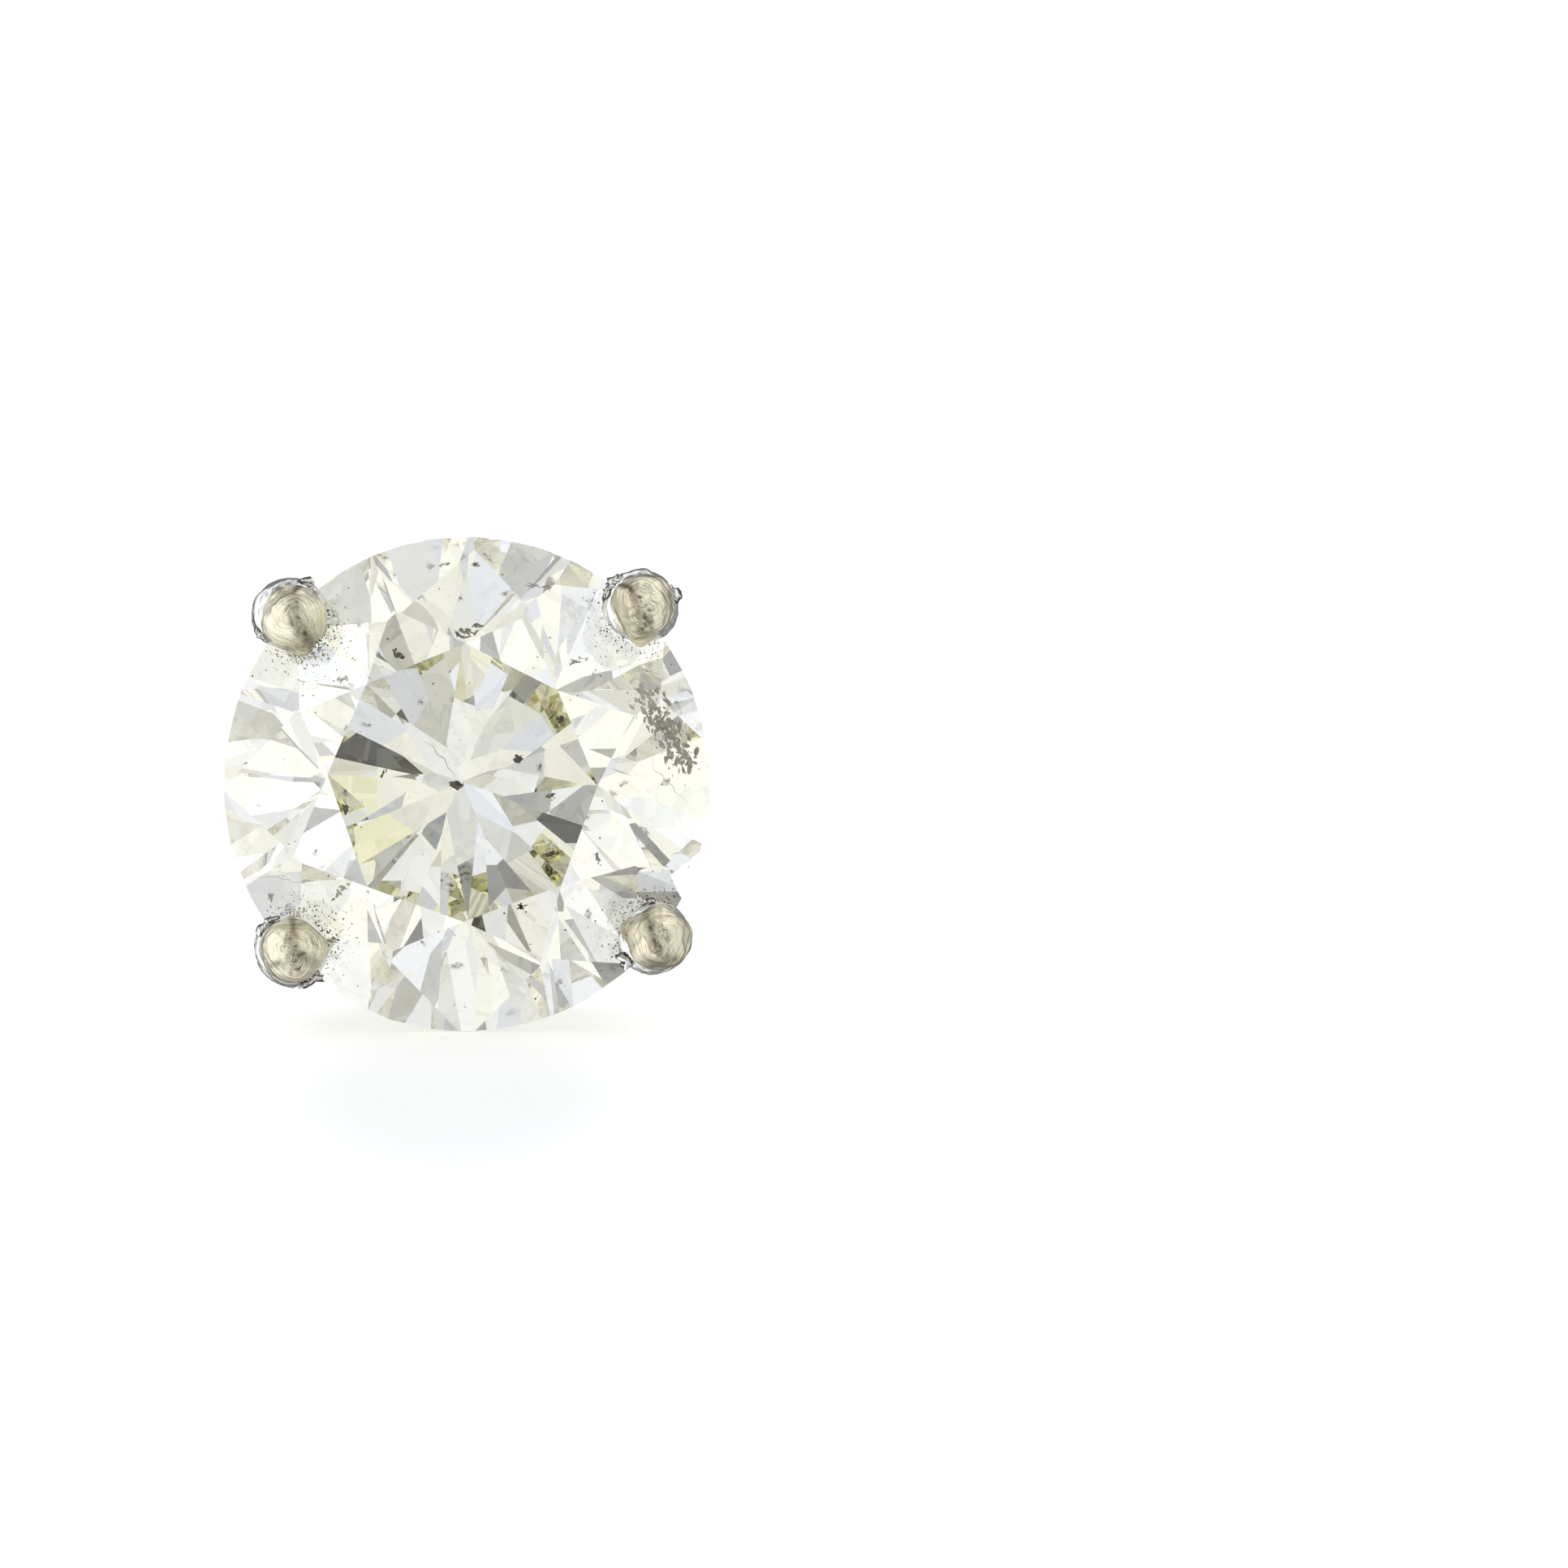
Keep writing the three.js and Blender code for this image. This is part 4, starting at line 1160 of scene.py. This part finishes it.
def bead_reflections(strokes, places, radius):
    """How strong the brown painted dark reflection is at places round a bead's middle: for each
    stroke its strength times a hump of the distance from the stroke's line, and the largest of them
    counts."""
    painted_dark = np.zeros(places.shape[:2])
    for x, y, end_x, end_y, half_width, strength in strokes:
        start, way = np.array([x, y]) * radius, np.array([end_x - x, end_y - y]) * radius
        share = np.clip((places - start) @ way / (way @ way), 0, 1)
        gap = np.linalg.norm(places - start - share[..., None] * way, axis=-1)
        painted_dark = np.maximum(painted_dark, strength * bump_of(gap, 0, half_width * radius))
    return painted_dark


def wire_middle(prong):
    """Where the middle of a prong's wire is, seen face on."""
    bearing, inset = PRONGS[prong][1:3]
    return polar(girdle_reach(math.radians(bearing)) - inset, bearing, 0.0)


def burr_grid(prong, bearing, half_width, height, seed):
    """A torn edge: along an arc round the wire's top, a thin upright oval whose height is a smooth
    envelope times jagged noise and whose middle wanders in and out. With it comes its painted
    shade, uneven along the edge and deeper on one face."""
    size, middle = sizes(), wire_middle(prong)
    along = np.linspace(-1, 1, BURR_POINTS)
    angle = math.radians(bearing) + along * math.radians(half_width)
    line = np.stack([along * half_width / 10, 0 * along, 0 * along], 1)
    mean, coarse, fine = BURR_JAGS
    jag = np.clip(mean + coarse * ripples(line, 1.5, seed) + fine * ripples(line, 0.5, seed + 1), 0.1, 1.3)
    tall = BURR_SHARE * height * jag * bump_of(along, 0, PAST_THE_ENDS) ** 0.5 / 2 + BURR_LEAST
    radius = in_mm(size.prong_wire) / 2 - BURR_INSET + BURR_WANDER * ripples(line, 0.7, seed + 2)
    around = circle(BURR_SIDES)
    thick = (BURR_THIN + BURR_THICKER * bump_of(along, 0, 1.1))[:, None] * np.cos(around)
    r = radius[:, None] + thick + BURR_LEAN * tall[:, None] * (1 + np.sin(around))
    z = in_mm(size.prong_rise) - BURR_ROOT + tall[:, None] * (1 + np.sin(around))
    x, y = middle[0] + r * np.cos(angle)[:, None], middle[1] + r * np.sin(angle)[:, None]
    grid = out_of_the_seat(np.stack([x, y, z], -1), 2 * SEAT_GAP)
    # Painted shade on the torn edge.
    painted_dark = BURR_SHADE + BURR_SHADE_BREAKS * ripples(grid, 0.10, seed + 3)
    return grid, np.clip(painted_dark + BURR_SHADE_SIDE * np.cos(around), 0, 1)


def burr_shards(prong, bearing, half_width, height, random):
    """Centres, lengths, widths, turns and painted shade of the shards of a torn edge. They lie along
    the edge's arc, each bright one over a wider dark one that is its painted shadow."""
    count, middle = SHARDS_PER_BURR, wire_middle(prong)
    angle = np.radians(bearing + half_width * random.uniform(-0.9, 0.9, count))
    outwards = SHARD_OUTWARDS * height * random.uniform(0, 1, count)
    radius = in_mm(sizes().prong_wire) / 2 - SHARD_INSET + outwards
    x, y = middle[0] + radius * np.cos(angle), middle[1] + radius * np.sin(angle)
    z = in_mm(sizes().prong_rise) - SHARD_ROOT + random.uniform(0, SHARD_ROOT, count)
    length = height * random.uniform(*SHARD_LENGTHS, count)
    width = length * random.uniform(*SHARD_WIDTHS, count)
    turn = angle + math.pi / 2 + random.normal(0, SHARD_SWING, count)
    centres = np.stack([x, y, z], 1)
    below = centres - np.array([0.0, 0.0, UNDER_SHARD])
    return (np.concatenate([centres, below]), np.append(length, UNDER_LONGER * length),
            np.append(width, width + UNDER_WIDER), np.append(turn, turn), np.repeat([0.0, 1.0], count))


def lathe_grid(profile, sides=96, wobble=0.0, seed=0):
    """A profile in radius and height turned round the axis, with a little noise in its radius."""
    round_ = circle(sides)
    radius, height = profile[:, :1], profile[:, 1:]
    grid = points_of(radius * np.cos(round_), radius * np.sin(round_), height)
    if wobble:
        grid[..., :2] *= 1 + (wobble * ripples(grid, 0.9, seed) / np.maximum(radius, 0.2))[..., None]
    return grid


def lathe_streak(profile, sides=96):
    """Streak coordinates of a turned piece: round the axis, and along the profile in mm."""
    round_ = circle(sides)
    return points_of(np.cos(round_), np.sin(round_), run_length(profile))


def softened(points, radius, steps=6):
    """A polyline with each inner corner replaced by a quadratic curve that starts and ends a radius
    away from it."""
    points = np.array(points, float)
    result = [points[0]]
    t = np.linspace(0, 1, steps)[:, None]
    for before, corner, after in zip(points, points[1:], points[2:]):
        start, stop = before - corner, after - corner
        reach = min(radius, 0.45 * np.linalg.norm(start), 0.45 * np.linalg.norm(stop))
        start, stop = corner + unit(start) * reach, corner + unit(stop) * reach
        result.extend((1 - t) ** 2 * start + 2 * t * (1 - t) * corner + t ** 2 * stop)
    result.append(points[-1])
    return np.array(result)


def divided(points, longest):
    """A polyline with points added so that none of its steps is longer than asked."""
    length = np.linalg.norm(np.diff(points, axis=0), axis=1)
    counts = np.maximum(np.ceil(length / longest).astype(int), 1)
    where = np.concatenate([k + np.arange(count) / count for k, count in enumerate(counts)]
                           + [[len(length)]])
    return np.stack([np.interp(where, range(len(points)), part) for part in points.T], 1)


class BuildProngs(Operator):
    """Shapes the four prongs with their beads and torn edges"""
    bl_idname = "stud.build_prongs"
    bl_label = "Prongs"

    def execute(self, context):
        gold = metal("worn_prong_gold", colours().champagne)
        torn = metal("torn_edge_gold", colours().silver)
        for values in PRONGS:
            grids, marks = prong_grid(*values)
            dress(ring_object("prong_" + values[0], grids, **marks), [gold], "setting", "setting")
        burrs = [burr_grid(*values, seed=60 + 3 * k) for k, values in enumerate(BURRS)]
        # The torn edges come with their painted shade.
        grids, dark = (np.stack(part) for part in zip(*burrs))
        dress(ring_object("prong_burrs", grids, crevice=dark), [torn], "setting")
        random = np.random.default_rng(77)
        parts = zip(*[burr_shards(*values, random) for values in BURRS])
        centres, lengths, widths, turns, painted_dark = (np.concatenate(part) for part in parts)
        grids = lumps(centres, lengths, widths, np.full(len(painted_dark), SHARD_THICKNESS), turns, 24)
        # Painted shadow: the lower shard of each pair is dark.
        painted_dark = np.broadcast_to(painted_dark[:, None, None], grids.shape[:3])
        piece = ring_object("prong_shards", out_of_the_seat(grids, SEAT_GAP), crevice=painted_dark)
        dress(piece, [torn], "setting")
        return {"FINISHED"}


class BuildBasket(Operator):
    """Builds the two rails, the base disc and the post"""
    bl_idname = "stud.build_basket"
    bl_label = "Basket and post"

    def execute(self, context):
        size = sizes()
        gold = metal("polished_basket_gold", colours().champagne)
        front, rail = base_front(), in_mm(size.rail_wire) / 2
        for name, above in (("rail_upper", UPPER_RAIL_HEIGHT), ("rail_lower", LOWER_RAIL_HEIGHT)):
            share = above / (-PRONG_BEND - front)
            radius = PRONG_FOOT + (girdle_radius() - PRONG_FOOT) * share
            dress(self.ring(name, radius, front + above, rail), [gold], "setting")
        back, post = base_back(), in_mm(size.post_diameter) / 2
        tip = plate_front() - 2 * in_mm(size.curl_radius) - POST_PAST_BACK
        notch = tip + NOTCH_FROM_TIP
        bend = np.linspace(0, math.pi / 2, 14)[1:]
        nose = np.stack([post * np.sin(bend), tip + POST_TIP_LENGTH * (1 - np.cos(bend))], 1)
        shaft = softened([
            nose[-1], (post, notch - NOTCH_LENGTH / 2), (post - NOTCH_DEPTH, notch),
            (post, notch + NOTCH_LENGTH / 2), (post, back - POST_FILLET), (post + POST_FILLET, back),
            (in_mm(size.base_diameter) / 2, back), (in_mm(size.base_diameter) / 2, front),
            (AXIS_ROOM, front),
        ], POST_SOFTNESS)
        profile = divided(np.concatenate([nose[:-1], shaft]), PROFILE_STEP)
        grids = lathe_grid(profile, wobble=POST_WOBBLE, seed=31)[None]
        dress(ring_object("base_and_post", grids, streak=lathe_streak(profile)[None]), [gold], "setting")
        return {"FINISHED"}

    def ring(self, name, radius, height, wire, steps=160, sides=40):
        """A round-wire ring: a circle of the wire's radius carried round the axis, with a slight
        unevenness in the wire."""
        round_, section = circle(steps)[:, None], circle(sides)
        r = radius + wire * np.cos(section)
        grid = points_of(r * np.cos(round_), r * np.sin(round_), height + wire * np.sin(section))
        grid[..., 2] += RAIL_WOBBLE * ripples(grid, RAIL_WAVES, 40)
        return loop_object(name, grid, points_of(np.cos(round_), np.sin(round_), wire * section))


# The friction back

def strip_path():
    """The middle line of the bent strip, from inside one curl to inside the other: a spiral whose
    radius falls by the pitch in each turn, the flat plate, and the mirrored spiral."""
    size = sizes()
    thick, curl = in_mm(size.strip_thickness), in_mm(size.curl_radius)
    pitch = thick + CURL_GAP
    middle = in_mm(size.post_diameter) / 2 + POST_CLEARANCE + curl - 0.75 * pitch
    turns = np.linspace(0, CURL_TURNS, CURL_POINTS)
    radius = curl - pitch * turns - thick / 2
    angle = FULL_TURN * turns
    spiral = np.stack([middle + radius * np.sin(angle), radius * np.cos(angle) - curl], 1)
    across = np.linspace(-middle, middle, PLATE_POINTS + 2)[1:-1]
    plate = np.stack([across, np.full(PLATE_POINTS, -thick / 2)], 1)
    left = (spiral * np.array([-1.0, 1.0]))[::-1]
    turned = np.concatenate([turns[::-1], np.zeros(PLATE_POINTS), turns])
    return np.concatenate([left, plate, spiral]), turned


def strip_grid(sides=44):
    """The strip: at each point of its path a rounded rectangle across it, as thick as the sheet and
    as wide as the plate, the taper or the curl is there. Its corners are a superellipse."""
    size = sizes()
    path, turns = strip_path()
    thick, wide = in_mm(size.strip_thickness), in_mm(size.plate_width)
    narrow = in_mm(size.curl_width)
    half_length = path[:, 0].max() + 1.5 * thick
    taper = np.clip((np.abs(path[:, 0]) - PLATE_STRAIGHT / 2) / (half_length - PLATE_STRAIGHT / 2), 0, 1)
    first, last = TAPER_TURNS
    width = np.where(turns > last, narrow, wide + (narrow - wide) * taper)
    width = width + (narrow - width) * np.clip((turns - first) / (last - first), 0, 1)
    along = unit(np.gradient(path, axis=0))
    normal = np.stack([-along[:, 1], along[:, 0]], 1)
    section = circle(sides)
    flat = np.sign(np.cos(section)) * np.abs(np.cos(section)) ** STRIP_SIDES_SQUARE
    through = np.sign(np.sin(section)) * np.abs(np.sin(section)) ** STRIP_FACES_FLAT
    ends = np.minimum(np.arange(len(path)), np.arange(len(path))[::-1])
    round_off = np.sqrt(1 - (1 - np.clip((ends + 0.6) / STRIP_END_RINGS, 0, 1)) ** 2)[:, None]
    y = width[:, None] / 2 * flat * (STRIP_END_WIDTH + (1 - STRIP_END_WIDTH) * round_off)
    depth = thick / 2 * through * round_off
    x = path[:, :1] + depth * normal[:, :1]
    z = path[:, 1:] + depth * normal[:, 1:]
    streak = points_of(STRIP_MARKS[0] * run_length(path), STRIP_MARKS[1] * through, y)
    return points_of(x, y, z + plate_front())[None], streak[None]


def cutter_cylinder(radius, low, high, sides=64):
    """A plain cylinder on the axis that a hole is cut with."""
    profile = np.array([(radius, low), (radius, high)])
    return ring_object("cutter", lathe_grid(profile, sides)[None], smooth=False)


class BuildBack(Operator):
    """Bends the friction back from one strip, drills it and adds its collar"""
    bl_idname = "stud.build_back"
    bl_label = "Friction back"

    def execute(self, context):
        size = sizes()
        gold = metal("friction_back_gold", colours().champagne)
        front, bore = plate_front(), in_mm(size.post_diameter) / 2 + POST_CLEARANCE
        grids, streak = strip_grid()
        piece = ring_object("back_strip", grids, streak=streak)
        cutter = cutter_cylinder(bore, front - BORE_REACH[0], front + BORE_REACH[1])
        hole = piece.modifiers.new("bore", "BOOLEAN")
        hole.operation, hole.solver, hole.object = "DIFFERENCE", "EXACT", cutter
        applied(piece)
        bpy.data.objects.remove(cutter)
        piece.data.shade_smooth()
        piece.data.set_sharp_from_angle(angle=math.radians(SHARP_FROM))
        dress(piece, [gold], "friction_back", "friction_back")
        outer = bore + COLLAR_WALL
        root = -0.5 * in_mm(size.strip_thickness)
        profile = divided(softened([
            (bore, root), (bore, COLLAR_HEIGHT), (outer - COLLAR_HEIGHT, COLLAR_HEIGHT), (outer, -0.02),
            (outer, root),
        ], COLLAR_SOFTNESS), COLLAR_STEP)
        piece = loop_object("back_collar", lathe_grid(profile + (0.0, front)), lathe_streak(profile))
        piece.data.set_sharp_from_angle(angle=math.radians(SHARP_FROM))
        dress(piece, [gold], "friction_back")
        return {"FINISHED"}


# The stage

def direction(height, bearing):
    """A unit vector by its height over the face's plane and its bearing, in degrees."""
    return polar(math.cos(math.radians(height)), bearing, math.sin(math.radians(height)))


def build_surroundings():
    """A soft studio as a function of direction. The tone is bright in front and a little lower round
    the sides, and soft waves make the lights and shades of walls. A few small cards, pale, dark and
    warm, stand near the camera. Mirrored light has tones of its own, with the camera's dark strip and
    the unlit room behind, and the camera itself sees plain white."""
    world = bpy.data.worlds.new("soft_studio")
    bpy.context.scene.world = world
    world.use_nodes = True
    world.cycles.sampling_method = "NONE"
    tree = world.node_tree
    background = tree.nodes["Background"]
    way = add(tree, "ShaderNodeTexCoord").outputs["Generated"]

    def along(vector):
        """How far the direction goes along a vector given in the earring's axes."""
        return add(tree, "ShaderNodeVectorMath", {0: way, 1: tuple(AXES @ vector)},
                   operation="DOT_PRODUCT").outputs["Value"]

    def shaded(tone, share, target):
        """The tone carried towards a target by a share."""
        return calculate(tree, "MULTIPLY_ADD", calculate(tree, "SUBTRACT", target, tone), share, tone)

    def card(height, bearing, half_width):
        """One on a round card in a direction, and zero outside it."""
        near, far = (math.cos(math.radians(half_width + part)) for part in (-CARD_EDGE, CARD_EDGE))
        return ranged(tree, along(direction(height, bearing)), far, near, smooth=False)

    def waves(seed, count, slowest, fastest, depth):
        """Sine waves over the directions, added up so that they spread by about the depth."""
        random = np.random.default_rng(seed)
        ways = unit(random.normal(size=(count, 3))) * random.uniform(slowest, fastest, count)[:, None]
        total = 0.0
        for vector, phase in zip(ways, random.uniform(0, FULL_TURN, count)):
            wave = calculate(tree, "SINE", calculate(tree, "ADD", along(vector), phase))
            total = calculate(tree, "MULTIPLY_ADD", wave, depth / math.sqrt(count / 2), total)
        return total

    towards = along(np.array([0.0, 0.0, 1.0]))
    tone = ranged(tree, towards, FRONT_STARTS, FRONT_ENDS, SIDE_TONE, FRONT_TONE)
    tone = shaded(tone, ranged(tree, towards, *HORIZON), BACK_TONE)
    for row in WAVES:
        tone = calculate(tree, "ADD", tone, waves(*row))
    for *place, card_tone in CARDS:
        tone = shaded(tone, card(*place), card_tone)
    path = add(tree, "ShaderNodeLightPath").outputs
    mirrored = calculate(tree, "SUBTRACT", path["Is Glossy Ray"], path["Is Transmission Ray"])
    seen = ranged(tree, along(direction(*MIRRORED_SIDE)), *MIRRORED_EDGES, *MIRRORED_TONES)
    aside = calculate(tree, "SUBTRACT", along(direction(*STRIP_SIDE)), STRIP_SHIFT)
    strip = ranged(tree, calculate(tree, "ABSOLUTE", aside), STRIP_EDGES[1], STRIP_EDGES[0])
    strip = calculate(tree, "MULTIPLY", strip, ranged(tree, towards, *STRIP_ENDS))
    seen = calculate(tree, "ADD", shaded(seen, strip, STRIP_TONE), waves(*MIRRORED_WAVES))
    seen = shaded(seen, ranged(tree, towards, *ROOM_EDGES), ROOM_TONE)
    tone = add(tree, "ShaderNodeClamp", {0: tone, 1: TONE_LIMITS[0], 2: TONE_LIMITS[1]}).outputs[0]
    tone = shaded(tone, mirrored, seen)
    cool = ranged(tree, calculate(tree, "SUBTRACT", waves(*TINT_WAVES), towards), *COOLNESS)
    tint = mixed(tree, cool, opaque(WARM_LIGHT), opaque(COOL_LIGHT))
    for place in WARM_CARDS:
        tint = mixed(tree, card(*place), tint, opaque(WARM_CARD_TINT))
    tint = mixed(tree, mirrored, tint, WHITE)
    light = add(tree, "ShaderNodeVectorMath", {0: tint, "Scale": tone}, operation="SCALE").outputs[0]
    put(tree, background, {"Color": mixed(tree, path["Is Camera Ray"], light, WHITE)})


def build_table_top():
    """A wide flat sheet under the earring: matt white, with a little light of its own, and hidden from
    light that leaves the stone or meets the metal, so that the surroundings alone are seen in them.
    A faint oval shade is painted into its colour in front of the earring."""
    material, tree, shader = new_material("pale_table_top")
    grain = place_group(tree, "metal_grain", grain_group, {"Size": 6.0, "Seed": 1.0})
    colour = mixed(tree, grain["Hollows"], opaque(colours().table_top),
                   opaque([TABLE_SPECKLE * part for part in colours().table_top]))
    where = add(tree, "ShaderNodeTexCoord").outputs["Object"]
    away = vector_math(tree, "DIVIDE", vector_math(tree, "SUBTRACT", where, SHADE_MIDDLE), SHADE_HALF)
    away = add(tree, "ShaderNodeVectorMath", {0: away}, operation="LENGTH").outputs["Value"]
    shade = ranged(tree, away, 1.0, SHADE_FADES, 0.0, SHADE_DEPTH)
    # Painted shade: the colour darkens in the oval, standing in for the earring's shadow.
    colour = mixed(tree, shade, colour, BLACK)
    rough = calculate(tree, "MULTIPLY_ADD", grain["Height"], TABLE_UNEVEN, TABLE_ROUGH)
    put(tree, shader, {"Base Color": colour, "Roughness": rough, "Specular IOR Level": 0.0,
                       "Emission Color": TABLE_GLOW, "Emission Strength": TABLE_GLOW_STRENGTH})
    x, y = np.meshgrid(*[np.linspace(-TABLE_HALF, TABLE_HALF, TABLE_POINTS)] * 2)
    number = np.arange(x.size).reshape(x.shape)
    quads = np.stack([number[:-1, :-1], number[:-1, 1:], number[1:, 1:], number[1:, :-1]], -1)
    mesh = bpy.data.meshes.new("table_top")
    mesh.from_pydata(points_of(x, y, 0.0).reshape(-1, 3), [], quads.reshape(-1, 4).tolist())
    mesh.materials.append(material)
    top = bpy.data.objects.new("table_top", mesh)
    bpy.context.scene.collection.objects.link(top)
    top.visible_transmission = top.visible_glossy = False


def build_camera():
    """A long lens that looks along the post from in front. It is set on the middle of the picture,
    so that the stone comes left of it, and its lens fits the picture's width at the stone."""
    lens = bpy.data.cameras.new("camera")
    camera = bpy.data.objects.new("camera", lens)
    bpy.context.scene.collection.objects.link(camera)
    place = to_frame(np.array([STONE_LEFT_OF_MIDDLE, 0.0, CAMERA_DISTANCE]))
    turn = np.eye(4)
    turn[:3, :3], turn[:3, 3] = AXES, place
    camera.matrix_world = Matrix(turn)
    lens.sensor_width = SENSOR
    lens.lens = SENSOR * CAMERA_DISTANCE / (FRAME_PIXELS * PIXEL_PITCH)
    lens.clip_start, lens.clip_end = CLIP_START, CLIP_END
    bpy.context.scene.camera = camera


class BuildStage(Operator):
    """Sets up the table top, the soft light, the camera and the depth of the light's paths"""
    bl_idname = "stud.build_stage"
    bl_label = "Stage"

    def execute(self, context):
        build_surroundings()
        build_table_top()
        build_camera()
        scene = context.scene
        scene.view_settings.view_transform = "Standard"
        cycles = scene.cycles
        cycles.max_bounces = cycles.transmission_bounces = cycles.glossy_bounces = LIGHT_BOUNCES
        cycles.diffuse_bounces = DIFFUSE_BOUNCES
        cycles.blur_glossy = 0.0
        cycles.use_denoising = True
        cycles.denoising_input_passes = "RGB"
        return {"FINISHED"}


class EarringPanel(Panel):
    """Lists the pieces of the earring in the sidebar, with their sizes and colours"""
    bl_idname = "VIEW3D_PT_stud_earring"
    bl_label = "Stud earring"
    bl_space_type = "VIEW_3D"
    bl_region_type = "UI"
    bl_category = "Earring"

    def draw(self, context):
        for step in STEPS:
            self.layout.operator(step.bl_idname)
        for group in (context.scene.stud_sizes, context.scene.stud_colours):
            column = self.layout.column(align=True)
            for name in group.__annotations__:
                column.prop(group, name)


STEPS = (BuildStage, BuildStone, BuildInclusions, BuildProngs, BuildBasket, BuildBack)
CLASSES = (StudSizes, StudColours, *STEPS, EarringPanel)


def register():
    for each in CLASSES:
        bpy.utils.register_class(each)
    bpy.types.Scene.stud_sizes = PointerProperty(type=StudSizes)
    bpy.types.Scene.stud_colours = PointerProperty(type=StudColours)


def unregister():
    del bpy.types.Scene.stud_colours
    del bpy.types.Scene.stud_sizes
    for each in reversed(CLASSES):
        bpy.utils.unregister_class(each)


def write_sizes():
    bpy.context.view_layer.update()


def main():
    """Builds every piece in order."""
    register()
    bpy.ops.stud.build_stage()
    bpy.ops.stud.build_stone()
    bpy.ops.stud.build_inclusions()
    bpy.ops.stud.build_prongs()
    bpy.ops.stud.build_basket()
    bpy.ops.stud.build_back()
    write_sizes()


if __name__ == "__main__":
    main()
